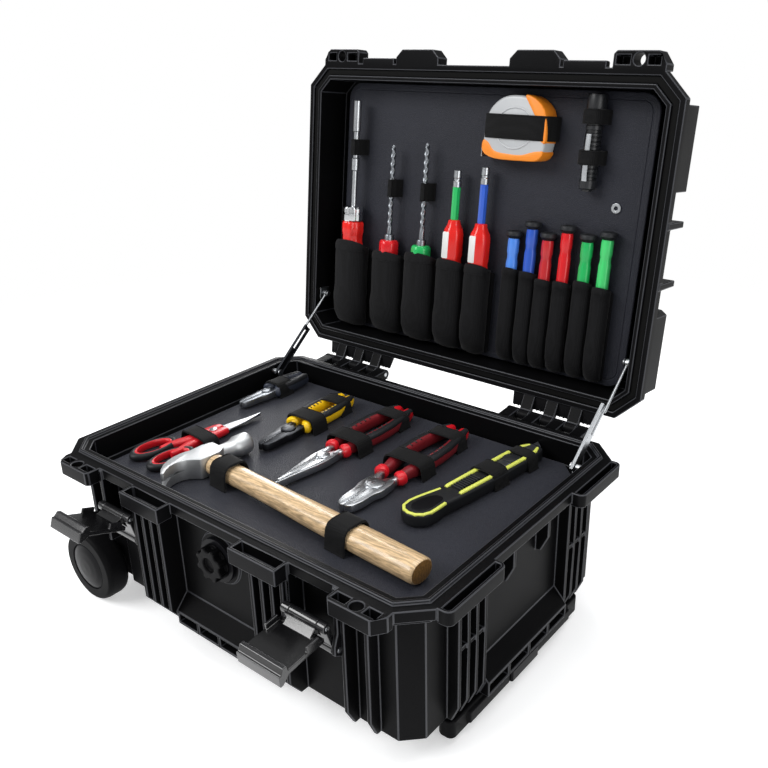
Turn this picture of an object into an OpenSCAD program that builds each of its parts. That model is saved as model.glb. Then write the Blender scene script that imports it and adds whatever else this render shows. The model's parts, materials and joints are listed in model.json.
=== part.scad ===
// Wheeled hard tool case, open, with its lift-out pallet, lid board and tools.
// X runs along the front, -Y is the latch side, +Y the hinge side, +Z is up.
// The origin is on the ground, under the middle of the base.

/* [Case] */
// Width over the rim
case_w = 450; // [440:1:480]
// Depth over the rim
case_d = 326; // [320:1:350]
// Height of the base, from its bottom to the rim
base_h = 135; // [128:1:160]
// Depth of the lid, from the rim to its top
lid_h = 56; // [52:1:70]
// Height of the base's bottom above the ground
stand_h = 27; // [27:1:34]
// Wall of both shells
wall = 3.5; // [2.5:0.1:4]
// How far the rim stands out from the walls
flange = 14; // [13:0.5:16]
// Height of the rim
flange_h = 10; // [8:0.5:12]
// Chamfer of the rim's corners, seen from above
corner = 24; // [20:1:30]
// Gap between the closed rims
rim_gap = 0.4; // [0.3:0.1:0.8]
// Height of the sealing ridge on the base's rim
ridge_h = 2.4; // [1.5:0.1:2.8]

/* [Lid hinge] */
// How far the lid stands open in the model
lid_angle = 97; // [90:1:100]
// Hinge axis behind the rim
hinge_out = 21; // [20:0.5:24]
// Hinge axis below the rim
hinge_drop = 5; // [4:0.5:6]
// Radius of the hinge pins
hinge_pin_r = 2.5; // [2:0.1:3]
// Middle of each hinge, from the case's middle
hinge_x = 132; // [125:1:140]
// Length of each hinge
hinge_len = 96; // [80:1:110]
// Knuckles in each hinge
knuckles = 7; // [5:2:9]
// Radial gap round pins that turn
pin_gap = 0.05; // [0.03:0.01:0.08]

/* [Latches] */
// Middle of each latch, from the case's middle
latch_x = 124; // [123:1:125]
// Width of each latch lever
latch_w = 46; // [40:1:46]
// Foot pin below the rim
latch_foot_drop = 58; // [54:1:62]
// Foot pin in front of the wall
latch_foot_out = 15; // [13:0.5:17]
// Distance from the foot pin to the knee pin
latch_link = 24; // [20:1:28]
// Length of the lever beyond the knee pin
lever_len = 50; // [48:1:58]
// Radius of the latch pins
latch_pin_r = 1.8; // [1.5:0.1:2.2]
// Share of the lever's turn that its link leans out by
link_share = 0.234; // [0.2:0.002:0.24]
// How far the left lever is turned out
lever_open_left = 57; // [40:1:92]
// How far the right lever is turned out
lever_open_right = 77; // [40:1:92]

/* [Wheels and pull handle] */
// Radius of the wheels
wheel_r = 38; // [34:0.5:39]
// Width of the tyres
wheel_w = 24; // [20:1:26]
// Wheel axle, from the case's middle
wheel_x = 192; // [189:1:200]
// Radius of the axles
axle_r = 4; // [3:0.1:5]
// Distance between the two telescopic tubes
rail_pitch = 160; // [140:2:170]
// Outer radius of the fixed tubes
rail_r = 9; // [8:0.1:9.5]
// Wall of the tubes
rail_wall = 1.3; // [1:0.1:1.5]
// Sliding gap between the tubes
rail_gap = 0.1; // [0.06:0.02:0.2]
// Length of the fixed tubes
rail_len = 350; // [330:1:355]
// Length of the grip
grip_len = 214; // [205:1:224]

/* [Lid board and pallet] */
// Thickness of the lid board
board_t = 3; // [2:0.5:4]
// Board above the lid's rim
board_in = 32; // [31:0.5:34]
// Pallet thickness
pallet_t = 4; // [3:0.5:5]
// Pallet's top below the rim
pallet_drop = 21; // [20:0.5:24]

/* [Hidden] */
$fn = 48;

rim_z = stand_h + base_h;
half_w = case_w / 2;
half_d = case_d / 2;
wall_x = half_w - flange;
wall_y = half_d - flange;
inner_x = wall_x - wall;
inner_y = wall_y - wall;
lid_z = rim_z + rim_gap;
lid_top = lid_z + lid_h;
octagon_share = 0.586;
hinge_y = half_d + hinge_out;
hinge_z = rim_z - hinge_drop;
knuckle_r = hinge_pin_r + 3.5;
knuckle_gap = 0.4;
knuckle_len = hinge_len / knuckles;
clear = 0.3;

// Front blocks: pockets over the ribs, padlock blocks at the corners
block_out = 15;
rib_t = 4;
rib_xs = [60, 72, 84, 96];
rib_bar_z = 96;
trough_y0 = 62;
trough_y1 = 138;
trough_out = 11;
pocket_x0 = 46;
pocket_x1 = 100;
padlock_x0 = 152;
padlock_x1 = 200;
padlock_x = 177;
padlock_r = 5.5;
padlock_y = half_d + 7.5;
lid_block_h = 17;

// Latch
ear_t = 4;
foot_y = -(wall_y + latch_foot_out);
foot_z = rim_z - latch_foot_drop;
knee_z = foot_z + latch_link;
link_t = 5;
lever_t = 4;
lever_y = foot_y - link_t / 2 - clear - lever_t;
hook_z = lid_z + 9;
hook_t = 4;
keeper_out = 6;

// Wheels, feet and rails
wheel_out = 9;
wheel_y = half_d + wheel_out - wheel_w / 2;
well_gap = 5;
well_x = wheel_x - wheel_r - well_gap;
well_z = 2 * wheel_r + well_gap;
well_y = wheel_y - wheel_w / 2 - 4;
rail_z = stand_h - 11.5;
rail_x0 = -150;
cover_z = 4;
cover_hw = 13;
middle_r = rail_r - rail_wall - rail_gap;
inner_r = middle_r - rail_wall - rail_gap;
rail_end = rail_x0 + rail_len;
grip_x = half_w - 17;
grip_t = 15;
grip_h = 18;
button_w = 46;

// Stays, drawn in the plane across the case
stay_x = inner_x - 8.5;
peg_y = 118;
peg_z = rim_z - 7;
hook_y = 108;
hook_rise = 14;
stay_len = 62;
stay_peg_r = 2;
wire_r = 1.5;

// Pressure valve
valve_r = 21;
knob_r = 16.5;
valve_z = rim_z - 45;
valve_bore = 11;

board_z = lid_z + board_in;
board_x = 191;
board_y0 = -144;
board_y1 = 143;
board_r = 18;
pallet_z = rim_z - pallet_drop;
pallet_x = 192;
pallet_y = 141;
tool_z = pallet_z + clear;

// Pockets and the tools in the lid
wide_xs = [-165, -110, -63, -20, 15];
wide_w = [46, 44, 42, 36, 30];
wide_t = [30, 26, 26, 26, 26];
wide_y0 = [42, 47, 42, 43, 43];
wide_y1 = 139;
wide_r = [13.5, 11.5, 11.5, 11.5, 11.5];
narrow_xs = [55, 76, 95, 116, 139, 160];
narrow_w = 19;
narrow_t = 19;
narrow_y0 = [39, 40, 45, 44, 40, 43];
narrow_y1 = 139;
cap_ys = [-2, -14, -5, -15, -9, -14];
cap_r = 8.4;
small_r = 6.2;

plastic = [0.09, 0.09, 0.1];
felt = [0.16, 0.17, 0.2];
steel = [0.72, 0.73, 0.75];
rubber = [0.05, 0.05, 0.05];

function oct_points(x, y, c) = [[x - c, -y], [x, -y + c], [x, y - c], [x - c, y],
  [-x + c, y], [-x, y - c], [-x, -y + c], [-x + c, -y]];

// Octagonal plate of the case's plan, drawn in from the rim by inset
module plate(inset, z0, z1) {
  translate([0, 0, z0])
    linear_extrude(z1 - z0)
      polygon(oct_points(half_w - inset, half_d - inset, corner - octagon_share * inset));
}

module box(x0, x1, y0, y1, z0, z1) {
  translate([x0, y0, z0]) cube([x1 - x0, y1 - y0, z1 - z0]);
}

module bar_x(x0, x1, y, z, r) {
  translate([x0, y, z]) rotate([0, 90, 0]) cylinder(h = x1 - x0, r = r);
}

module bar_y(y0, y1, x, z, r) {
  translate([x, y0, z]) rotate([-90, 0, 0]) cylinder(h = y1 - y0, r = r);
}

// Both sides of the case, mirrored about its middle
module pair() {
  children();
  mirror([1, 0, 0]) children();
}

module pair_y() {
  children();
  mirror([0, 1, 0]) children();
}

// Plate with round corners
module round_plate(x0, x1, y0, y1, z0, z1, r) {
  box(x0 + r, x1 - r, y0, y1, z0, z1);
  box(x0, x1, y0 + r, y1 - r, z0, z1);
  for (x = [x0 + r, x1 - r])
    for (y = [y0 + r, y1 - r])
      translate([x, y, z0]) cylinder(h = z1 - z0, r = r);
}

// Places the closed lid's pieces at the angle of the open lid
module opened() {
  translate([0, hinge_y, hinge_z])
    rotate([-lid_angle, 0, 0])
      translate([0, -hinge_y, -hinge_z])
        children();
}

// One rib with a sloping foot, standing out from the front wall
module front_rib(x, z0, z1, out) {
  translate([x + rib_t / 2, 0, 0])
    rotate([0, -90, 0])
      linear_extrude(rib_t)
        polygon([[z0, -wall_y + 1], [z0, -wall_y - out * 0.4], [z0 + 16, -wall_y - out],
          [z1, -wall_y - out], [z1, -wall_y + 1]]);
}

// One rib on an end wall
module end_rib(y, z0, z1, out) {
  translate([0, y + rib_t / 2, 0])
    rotate([90, 0, 0])
      linear_extrude(rib_t)
        polygon([[wall_x - 1, z0], [wall_x + out * 0.4, z0], [wall_x + out, z0 + 16],
          [wall_x + out, z1], [wall_x - 1, z1]]);
}

// Ledge with a sloping top and a row of cells under it
module front_ledge(x0, x1, cells) {
  step = (x1 - x0) / cells;
  difference() {
    translate([x1, 0, 0])
      rotate([0, -90, 0])
        linear_extrude(x1 - x0)
          polygon([[stand_h, -wall_y + 1], [stand_h, -half_d], [stand_h + 14, -half_d],
            [stand_h + 30, -wall_y + 1]]);
    for (i = [0:cells - 1])
      box(x0 + i * step + rib_t / 2, x0 + (i + 1) * step - rib_t / 2,
        -half_d - 1, -wall_y - 2, stand_h + 2.5, stand_h + 11.5);
  }
}

module base_knuckles() {
  for (s = [-1, 1])
    for (i = [0:2:knuckles - 1])
      translate([s * hinge_x - hinge_len / 2 + i * knuckle_len + knuckle_gap / 2, 0, 0])
        rotate([90, 0, 90])
          linear_extrude(knuckle_len - knuckle_gap)
            union() {
              translate([hinge_y, hinge_z]) circle(r = knuckle_r);
              polygon([[half_d - 1, rim_z - flange_h], [half_d - 1, rim_z - 1],
                [hinge_y, hinge_z + knuckle_r - 0.6], [hinge_y, hinge_z - knuckle_r]]);
            }
}

module lid_knuckles() {
  for (s = [-1, 1])
    for (i = [1:2:knuckles - 1])
      translate([s * hinge_x - hinge_len / 2 + i * knuckle_len + knuckle_gap / 2, 0, 0])
        rotate([90, 0, 90])
          linear_extrude(knuckle_len - knuckle_gap)
            union() {
              translate([hinge_y, hinge_z]) circle(r = knuckle_r);
              polygon([[half_d - 1, lid_z + 2], [half_d - 1, lid_z + flange_h],
                [hinge_y + knuckle_r - 0.5, hinge_z], [hinge_y, hinge_z - 1],
                [hinge_y - knuckle_r + 0.5, hinge_z]]);
            }
}

// Wheel well: the housing inside the shell, and the space cut out of it
module well_body(grow) {
  pair_y()
    box(-half_w - 5, -well_x + grow, -half_d - 5, -well_y + grow, -5, well_z + grow);
}

module front_pockets() {
  pair()
    difference() {
      box(pocket_x0, pocket_x1, -half_d - block_out, -half_d + 1, rim_z - 15, rim_z);
      box(pocket_x0 + 3, pocket_x1 - 3, -half_d - block_out + 3, -half_d - 1,
        rim_z - 11, rim_z + 1);
    }
}

// Long hollow guards along the rim over the pull handle
module end_troughs() {
  pair_y()
    difference() {
      trough_shape(0, rim_z - 13, rim_z);
      trough_shape(3, rim_z - 10, rim_z + 1);
    }
}

module trough_shape(inset, z0, z1) {
  translate([0, 0, z0])
    linear_extrude(z1 - z0)
      union() {
        translate([half_w - 1 + inset, -trough_y1 + 6])
          square([trough_out + 1 - 2 * inset, trough_y1 - trough_y0 - 12]);
        for (y = [-trough_y1 + 6, -trough_y0 - 6])
          translate([half_w + trough_out - 6, y]) circle(r = 6 - inset);
        translate([half_w - 1 + inset, -trough_y1 + inset])
          square([trough_out - 5 - inset, trough_y1 - trough_y0 - 2 * inset]);
      }
}

module padlock_blocks(z0, z1) {
  pair()
    difference() {
      translate([0, 0, z0])
        linear_extrude(z1 - z0)
          polygon([[padlock_x0, -half_d + 1], [padlock_x0, -half_d - block_out + 3],
            [padlock_x0 + 3, -half_d - block_out], [padlock_x1 - 5, -half_d - block_out],
            [padlock_x1 + 3, -half_d - 4], [padlock_x1 + 3, -half_d + 2]]);
      translate([padlock_x, -padlock_y, z0 - 1]) cylinder(h = z1 - z0 + 2, r = padlock_r);
      box(padlock_x0 + 3, padlock_x - padlock_r - 3, -half_d - block_out + 4, -half_d - 3,
        z0 + 3, z1 + 1);
      box(padlock_x + padlock_r + 3, padlock_x1 - 3, -half_d - 11, -half_d - 3,
        z0 + 3, z1 + 1);
    }
}

module base_shell() {
  color(plastic)
    difference() {
      union() {
        difference() {
          union() {
            plate(flange, stand_h, rim_z);
            plate(0, rim_z - flange_h, rim_z);
            plate(flange / 2, rim_z - flange_h - 7, rim_z - flange_h);
            pair() for (x = rib_xs) front_rib(x, stand_h, rim_z - 14, 20);
            pair() front_rib(padlock_x0 + 2, stand_h, rim_z - 14, 14);
            pair() front_rib(padlock_x1 - 24, stand_h, rim_z - 14, 12);
            for (y = [-104, -92, -80, -68, 68, 80, 92, 104])
              end_rib(y, stand_h, rim_z - flange_h, 11);
            for (y = [-28, 28]) end_rib(y, rim_z - 44, rim_z - flange_h, 12);
            for (y = [-106, 66])
              box(wall_x - 1, wall_x + 10, y, y + 40, rib_bar_z, rib_bar_z + 4);
            mirror([1, 0, 0])
              for (y = [-92, -80, -68, 68, 80, 92])
                end_rib(y, 92, rim_z - flange_h, 11);
            front_ledge(-58, 58, 4);
            rotate([0, 0, 90])
              translate([0, half_d - half_w, 0])
                front_ledge(-66, 66, 4);
          }
          plate(flange + wall, stand_h + wall, rim_z + 5);
        }
        difference() {
          plate(flange + 1, pallet_z - pallet_t - 4.3, pallet_z - pallet_t - 0.3);
          linear_extrude(rim_z) polygon(oct_points(inner_x - 20, inner_y - 8, 16));
        }
        difference() {
          plate(8, rim_z - 1, rim_z + ridge_h);
          plate(11, 0, rim_z + 9);
        }
        intersection() {
          well_body(wall);
          plate(flange, stand_h, rim_z);
        }
        axle_brackets();
        front_pockets();
        end_troughs();
        padlock_blocks(rim_z - 14, rim_z);
        pair()
          for (x = [latch_x - latch_w / 2 - 0.5 - ear_t, latch_x + latch_w / 2 + 0.5])
            latch_ear(x);
        base_knuckles();
        translate([0, -wall_y + 1, valve_z]) rotate([90, 0, 0]) cylinder(h = 3, r = valve_r + 4);
      }
      well_body(0);
      for (s = [-1, 1])
        bar_x(s * hinge_x - hinge_len / 2 - 1, s * hinge_x + hinge_len / 2 + 1,
          hinge_y, hinge_z, hinge_pin_r);
      for (s = [-1, 1])
        bar_x(s * latch_x - latch_w / 2 - 5, s * latch_x + latch_w / 2 + 5, foot_y, foot_z,
          latch_pin_r);
      for (s = [-1, 1])
        bar_y(s > 0 ? well_y - 20 : -well_y - 1, s > 0 ? well_y + 1 : -well_y + 20,
          -wheel_x, wheel_r, axle_r);
      translate([0, -wall_y + 20, valve_z]) rotate([90, 0, 0]) cylinder(h = 40, r = valve_bore);
      pair() bar_x(inner_x - 1, inner_x + wall - 1, peg_y, peg_z, stay_peg_r);
    }
}

module latch_ear(x) {
  translate([x, 0, 0])
    rotate([90, 0, 90])
      linear_extrude(ear_t)
        polygon([[-wall_y + 1, foot_z - 24], [foot_y + 3, foot_z - 8], [foot_y - 5, foot_z - 3],
          [foot_y - 5, foot_z + 5], [-half_d - 2, foot_z + 16], [-half_d - 2, rim_z - 1],
          [-wall_y + 1, rim_z - 1]]);
}

// Plates that carry the axles, inside each wheel well
module axle_brackets() {
  pair_y()
    difference() {
      translate([0, -well_y + 7, 0])
        rotate([90, 0, 0])
          linear_extrude(7)
            polygon([[-wheel_x - 11, wheel_r + 16], [-wheel_x - 11, wheel_r - 6],
              [-wheel_x - 5, wheel_r - 12], [-wheel_x + 8, wheel_r - 12],
              [-well_x - 10, stand_h + 1], [-well_x - 10, wheel_r + 16]]);
    }
}

module base_feet() {
  color(rubber)
    pair_y()
      round_plate(rail_end - 24, rail_end - 2, -rail_pitch / 2 - 11, -rail_pitch / 2 + 11, 0,
        cover_z, 4);
}

module rail_cover() {
  color(plastic)
    difference() {
      union() {
        pair_y()
          box(rail_x0 - 4, rail_end, -rail_pitch / 2 - cover_hw, -rail_pitch / 2 + cover_hw,
            cover_z, stand_h);
        box(rail_x0 - 4, rail_end, -rail_pitch / 2, rail_pitch / 2, stand_h - 4, stand_h);
        for (i = [0:5])
          box(rail_x0 + 20 + i * 60, rail_x0 + 24 + i * 60, -rail_pitch / 2, rail_pitch / 2,
            cover_z + 8, stand_h);
        // wear block under the middle of the case
        box(-12, 12, -40, 40, 0, stand_h);
      }
      pair_y() bar_x(rail_x0, rail_end + 1, -rail_pitch / 2, rail_z, rail_r);
      pair_y()
        for (i = [0:3])
          box(rail_x0 + 30 + i * 80, rail_x0 + 80 + i * 80, -rail_pitch / 2 - cover_hw - 1,
            -rail_pitch / 2 - cover_hw + 2.5, cover_z + 6, stand_h - 6);
    }
}

module tubes(x0, x1, r_out, r_in) {
  pair_y()
    difference() {
      bar_x(x0, x1, -rail_pitch / 2, rail_z, r_out);
      bar_x(x0 - 1, x1 + 1, -rail_pitch / 2, rail_z, r_in);
    }
}

module rail_outer_tubes() {
  color(steel) tubes(rail_x0, rail_end, rail_r, rail_r - rail_wall);
}

module rail_middle_tubes() {
  color(steel) tubes(rail_x0 + 6, grip_x - 7.5, middle_r, middle_r - rail_wall);
}

module rail_inner_tubes() {
  color(steel) tubes(rail_x0 + 12, grip_x + 8, inner_r, inner_r - rail_wall);
}

module pull_grip() {
  color(plastic)
    difference() {
      union() {
        box(grip_x - 7, grip_x + grip_t - 6, -grip_len / 2 + 12, grip_len / 2 - 12,
          rail_z - grip_h / 2, rail_z + grip_h / 2);
        pair_y()
          translate([0, -grip_len / 2 + 12, 0])
            round_plate(grip_x - 7, grip_x + grip_t - 6, -12, 12, rail_z - grip_h / 2,
              rail_z + grip_h / 2, 6);
        box(grip_x + grip_t - 7, grip_x + grip_t - 3, -grip_len / 2 + 22, grip_len / 2 - 22,
          rail_z - grip_h / 2 + 3, rail_z + grip_h / 2 - 3);
      }
      pair_y() bar_x(grip_x - 8, grip_x + 8, -rail_pitch / 2, rail_z, inner_r);
      box(grip_x + 4, grip_x + grip_t, -button_w / 2, button_w / 2, rail_z - 6, rail_z + 6);
    }
}

module pull_button() {
  color([0.2, 0.2, 0.21])
    round_plate(grip_x + 9, grip_x + grip_t - 1, -button_w / 2 + clear, button_w / 2 - clear,
      rail_z - 6 + clear, rail_z + 6 - clear, 2);
}

module tyre(s) {
  translate([-wheel_x, s * wheel_y, wheel_r])
    rotate([90, 0, 0])
      rotate_extrude()
        polygon([[25, -wheel_w / 2], [wheel_r - 3, -wheel_w / 2], [wheel_r - 1, -wheel_w / 2 + 2],
          [wheel_r, -wheel_w / 2 + 6], [wheel_r, wheel_w / 2 - 6],
          [wheel_r - 1, wheel_w / 2 - 2], [wheel_r - 3, wheel_w / 2], [25, wheel_w / 2]]);
}

// The hub, with a smooth domed cap on its outer face
module hub(s) {
  translate([-wheel_x, s * wheel_y, wheel_r])
    rotate([s > 0 ? 90 : -90, 0, 0])
      difference() {
        rotate_extrude()
          polygon([[axle_r + pin_gap, -wheel_w / 2 + 1.5], [0, -wheel_w / 2 + 1.5],
            [0, -wheel_w / 2 - 3], [10, -wheel_w / 2 - 2.6], [18, -wheel_w / 2 - 1.4],
            [24, -wheel_w / 2 + 0.6], [25, -wheel_w / 2 + 2], [25, wheel_w / 2],
            [21, wheel_w / 2], [20, wheel_w / 2 - 5], [11, wheel_w / 2 - 5],
            [10, wheel_w / 2], [axle_r + pin_gap, wheel_w / 2]]);
        for (a = [0:60:300])
          rotate([0, 0, a]) translate([15.5, 0, 0]) cylinder(h = wheel_w, r = 3);
      }
}

module wheel_tyre_front() { color(rubber) tyre(-1); }
module wheel_tyre_rear() { color(rubber) tyre(1); }
module wheel_hub_front() { color([0.25, 0.25, 0.26]) hub(-1); }
module wheel_hub_rear() { color([0.25, 0.25, 0.26]) hub(1); }

module wheel_axles() {
  color(steel)
    pair_y() {
      bar_y(-wheel_y - wheel_w / 2 + 1.8, -well_y + 7, -wheel_x, wheel_r, axle_r);
      bar_y(-wheel_y + wheel_w / 2 + 0.4, -well_y, -wheel_x, wheel_r, 7);
    }
}

module latch_foot_pins() {
  color(steel)
    pair()
      bar_x(latch_x - latch_w / 2 - 4.5, latch_x + latch_w / 2 + 4.5, foot_y, foot_z, latch_pin_r);
}

// The latch pieces are drawn closed, then turned out
module link_turned(open) {
  translate([0, foot_y, foot_z])
    rotate([open * link_share, 0, 0])
      translate([0, -foot_y, -foot_z])
        children();
}

module lever_turned(open) {
  link_turned(open)
    translate([0, foot_y, knee_z])
      rotate([open, 0, 0])
        translate([0, -foot_y, -knee_z])
          children();
}

module latch_link() {
  color([0.15, 0.15, 0.16])
    difference() {
      union() {
        box(latch_x - latch_w / 2 + 1, latch_x + latch_w / 2 - 1, foot_y - link_t / 2,
          foot_y + link_t / 2, foot_z, knee_z - 10);
        bar_x(latch_x - latch_w / 2, latch_x + latch_w / 2, foot_y, foot_z, 5);
        for (x = [latch_x - latch_w / 2, latch_x + latch_w / 2 - 8]) {
          bar_x(x, x + 8, foot_y, knee_z, 4.5);
          box(x, x + 8, foot_y - link_t / 2, foot_y + link_t / 2, foot_z, knee_z);
        }
      }
      bar_x(latch_x - latch_w, latch_x + latch_w, foot_y, foot_z, latch_pin_r + pin_gap);
      bar_x(latch_x - latch_w, latch_x + latch_w, foot_y, knee_z, latch_pin_r);
    }
}

module latch_knee_pin() {
  color(steel)
    bar_x(latch_x - latch_w / 2, latch_x + latch_w / 2, foot_y, knee_z, latch_pin_r);
}

module latch_lever() {
  color(plastic)
    difference() {
      union() {
        box(latch_x - latch_w / 2, latch_x + latch_w / 2, lever_y - 3, lever_y + lever_t - 3,
          knee_z + 4.2, knee_z + lever_len);
        bar_x(latch_x - latch_w / 2 + 8.4, latch_x + latch_w / 2 - 8.4, foot_y, knee_z, 4.5);
        translate([latch_x - latch_w / 2 + 8.4, 0, 0])
          rotate([90, 0, 90])
            linear_extrude(latch_w - 16.8)
              polygon([[foot_y, knee_z - 3.5], [foot_y, knee_z + 4.4], [lever_y + 1, knee_z + 11],
                [lever_y - 3, knee_z + 11], [lever_y - 3, knee_z + 4.2], [lever_y + 1, knee_z + 1]]);
        for (x = [latch_x - latch_w / 2, latch_x + latch_w / 2 - 2.5])
          box(x, x + 2.5, lever_y - 1, foot_y - 1, knee_z + 9, knee_z + 22);
        translate([latch_x - latch_w / 2, 0, 0])
          rotate([90, 0, 90])
            linear_extrude(latch_w)
              polygon([[lever_y, hook_z - 1], [-half_d - 2, hook_z], [-half_d - 2, hook_z + hook_t],
                [lever_y, hook_z + hook_t + 3]]);
        translate([latch_x - latch_w / 2, 0, 0])
          rotate([90, 0, 90])
            linear_extrude(latch_w)
              polygon([[lever_y - 3, knee_z + lever_len - 8], [lever_y - 9, knee_z + lever_len - 1],
                [lever_y - 9, knee_z + lever_len + 2], [lever_y + 1, knee_z + lever_len + 2],
                [lever_y + 1, knee_z + lever_len - 8]]);
      }
      bar_x(latch_x - latch_w, latch_x + latch_w, foot_y, knee_z, latch_pin_r + pin_gap);
    }
}

module latch_link_right() { link_turned(lever_open_right) latch_link(); }
module latch_link_left() { mirror([1, 0, 0]) link_turned(lever_open_left) latch_link(); }
module latch_knee_pin_right() { link_turned(lever_open_right) latch_knee_pin(); }
module latch_knee_pin_left() { mirror([1, 0, 0]) link_turned(lever_open_left) latch_knee_pin(); }
module latch_lever_right() { lever_turned(lever_open_right) latch_lever(); }
module latch_lever_left() { mirror([1, 0, 0]) lever_turned(lever_open_left) latch_lever(); }

module hinge_pins() {
  color(steel)
    for (s = [-1, 1])
      bar_x(s * hinge_x - hinge_len / 2 + 0.5, s * hinge_x + hinge_len / 2 - 0.5, hinge_y, hinge_z,
        hinge_pin_r);
}

module valve_body() {
  color([0.12, 0.12, 0.13])
    translate([0, -wall_y - 2 , valve_z])
      rotate([90, 0, 0])
        difference() {
          union() {
            cylinder(h = 4, r = valve_r);
            translate([0, 0, -9]) cylinder(h = 9, r = valve_bore - 0.2);
          }
          translate([0, 0, -3]) cylinder(h = 8, r = 6);
        }
}

module valve_knob() {
  color(plastic)
    translate([0, -wall_y - 6, valve_z])
      rotate([90, 0, 0])
        difference() {
          union() {
            translate([0, 0, clear]) cylinder(h = 9, r = knob_r);
            translate([0, 0, -6.5]) cylinder(h = 7.5, r = 5.9);
          }
          for (a = [0:45:315])
            rotate([0, 0, a]) translate([knob_r + 1, 0, clear + 1.5]) cylinder(h = 9, r = 4.2);
          translate([0, 0, clear + 6]) cylinder(h = 4, r = 7);
        }
}

module stay_pegs() {
  color(steel)
    pair() {
      bar_x(stay_x - 3, inner_x + wall - 1.2, peg_y, peg_z, stay_peg_r);
      bar_x(stay_x - 4.5, stay_x - 3, peg_y, peg_z, 4);
      bar_x(stay_x + 1.2, inner_x, peg_y, peg_z, 3.2);
    }
}

// Places where the stay lies with the lid open, in the plane across the case
function turned(y, z, a) = [hinge_y + (y - hinge_y) * cos(a) - (z - hinge_z) * sin(a),
  hinge_z + (y - hinge_y) * sin(a) + (z - hinge_z) * cos(a)];
hook_open = turned(hook_y, rim_z + hook_rise, -lid_angle);
stay_dist = norm([hook_open[0] - peg_y, hook_open[1] - peg_z]);
stay_angle = atan2(hook_open[1] - peg_z, hook_open[0] - peg_y);

module stay_channel() {
  color([0.35, 0.35, 0.37])
    translate([0, peg_y, peg_z])
      rotate([stay_angle, 0, 0])
        difference() {
          union() {
            box(stay_x - 1.2, stay_x + 0.6, -5, stay_len + 7, -5, 5);
            box(stay_x - 2.6, stay_x + 0.6, -5, stay_len + 7, -5, -3.6);
            box(stay_x - 2.6, stay_x + 0.6, -5, stay_len + 7, 3.6, 5);
          }
          bar_x(stay_x - 9, stay_x + 9, 0, 0, stay_peg_r + pin_gap);
          box(stay_x - 9, stay_x + 9, 36, stay_len + 2, -1.8, 1.8);
        }
}

module stay_wire() {
  color(steel)
    translate([0, peg_y, peg_z])
      rotate([stay_angle, 0, 0]) {
        difference() {
          union() {
            bar_y(stay_len, stay_dist, stay_x + 2.6, 0, wire_r);
            bar_x(stay_x + 0.9, stay_x + 4.5, stay_dist, 0, stay_peg_r + 2);
          }
          bar_x(stay_x - 9, stay_x + 9, stay_dist, 0, stay_peg_r + pin_gap);
        }
      }
}

module stay_channel_right() { stay_channel(); }
module stay_channel_left() { mirror([1, 0, 0]) stay_channel(); }
module stay_wire_right() { stay_wire(); }
module stay_wire_left() { mirror([1, 0, 0]) stay_wire(); }

module stay_brackets() {
  color(steel)
    opened()
      pair() {
        bar_x(stay_x - 0.5, inner_x, hook_y, rim_z + hook_rise, stay_peg_r);
        bar_x(stay_x - 1.6, stay_x - 0.5, hook_y, rim_z + hook_rise, 3.5);
        box(inner_x - 1.6, inner_x, hook_y - 7, hook_y + 7, rim_z + hook_rise - 6,
          rim_z + hook_rise + 10);
      }
}

module lid_shell() {
  color(plastic)
    opened()
      difference() {
        union() {
          plate(0, lid_z, lid_z + flange_h);
          plate(flange / 2, lid_z + flange_h, lid_z + flange_h + 6);
          plate(flange, lid_z, lid_top - 12);
          hull() {
            plate(flange, lid_top - 12.5, lid_top - 12);
            plate(flange + 9, lid_top - 1, lid_top);
          }
          padlock_blocks_lid();
          pair()
            difference() {
              translate([0, 0, lid_z])
                linear_extrude(lid_block_h)
                  polygon([[pocket_x0 - 3, -half_d + 1], [pocket_x0 - 3, -half_d - 7],
                    [pocket_x0 + 5, -half_d - block_out], [pocket_x1 - 9, -half_d - block_out],
                    [pocket_x1 - 1, -half_d - 7], [pocket_x1 - 1, -half_d + 1]]);
              box(pocket_x0 + 6, pocket_x1 - 10, -half_d - block_out + 4, -half_d - 2,
                lid_z + 4, lid_z + lid_block_h + 1);
            }
          pair()
            translate([latch_x - latch_w / 2 + 1, 0, 0])
              rotate([90, 0, 90])
                linear_extrude(latch_w - 2)
                  polygon([[-half_d + 1, lid_z], [-half_d - keeper_out, lid_z],
                    [-half_d - keeper_out, lid_z + 7], [-half_d - keeper_out + 1.5, lid_z + 8.3],
                    [-half_d + 1, lid_z + 8.3]]);
          pair() lid_side_blocks();
          lid_knuckles();
          for (x = [-110, -55, 0, 55, 110])
            box(x - 9, x + 9, -inner_y + 18, inner_y - 18, lid_top - 1, lid_top + 2);
          for (y = [-1, 1])
            box(-150, 150, y * (inner_y - 22) - 5, y * (inner_y - 22) + 5, lid_top - 1, lid_top + 3);
        }
        difference() {
          union() {
            plate(flange + wall, lid_z - 5, lid_top - wall - 8);
            plate(flange + wall + 9, lid_top - wall - 9, lid_top - wall);
          }
          pair_y()
            pair()
              translate([board_x - 14, 128, board_z + board_t + clear]) cylinder(h = 40, r = 6);
        }
        difference() {
          plate(6, lid_z - 1, lid_z + 6);
          plate(13, lid_z - 2, lid_z + 7);
        }
        for (s = [-1, 1])
          bar_x(s * hinge_x - hinge_len / 2 - 1, s * hinge_x + hinge_len / 2 + 1,
            hinge_y, hinge_z, hinge_pin_r + pin_gap);
      }
}

module padlock_blocks_lid() {
  translate([0, 0, 2 * lid_z + lid_block_h])
    mirror([0, 0, 1])
      padlock_blocks(lid_z, lid_z + lid_block_h);
}

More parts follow.
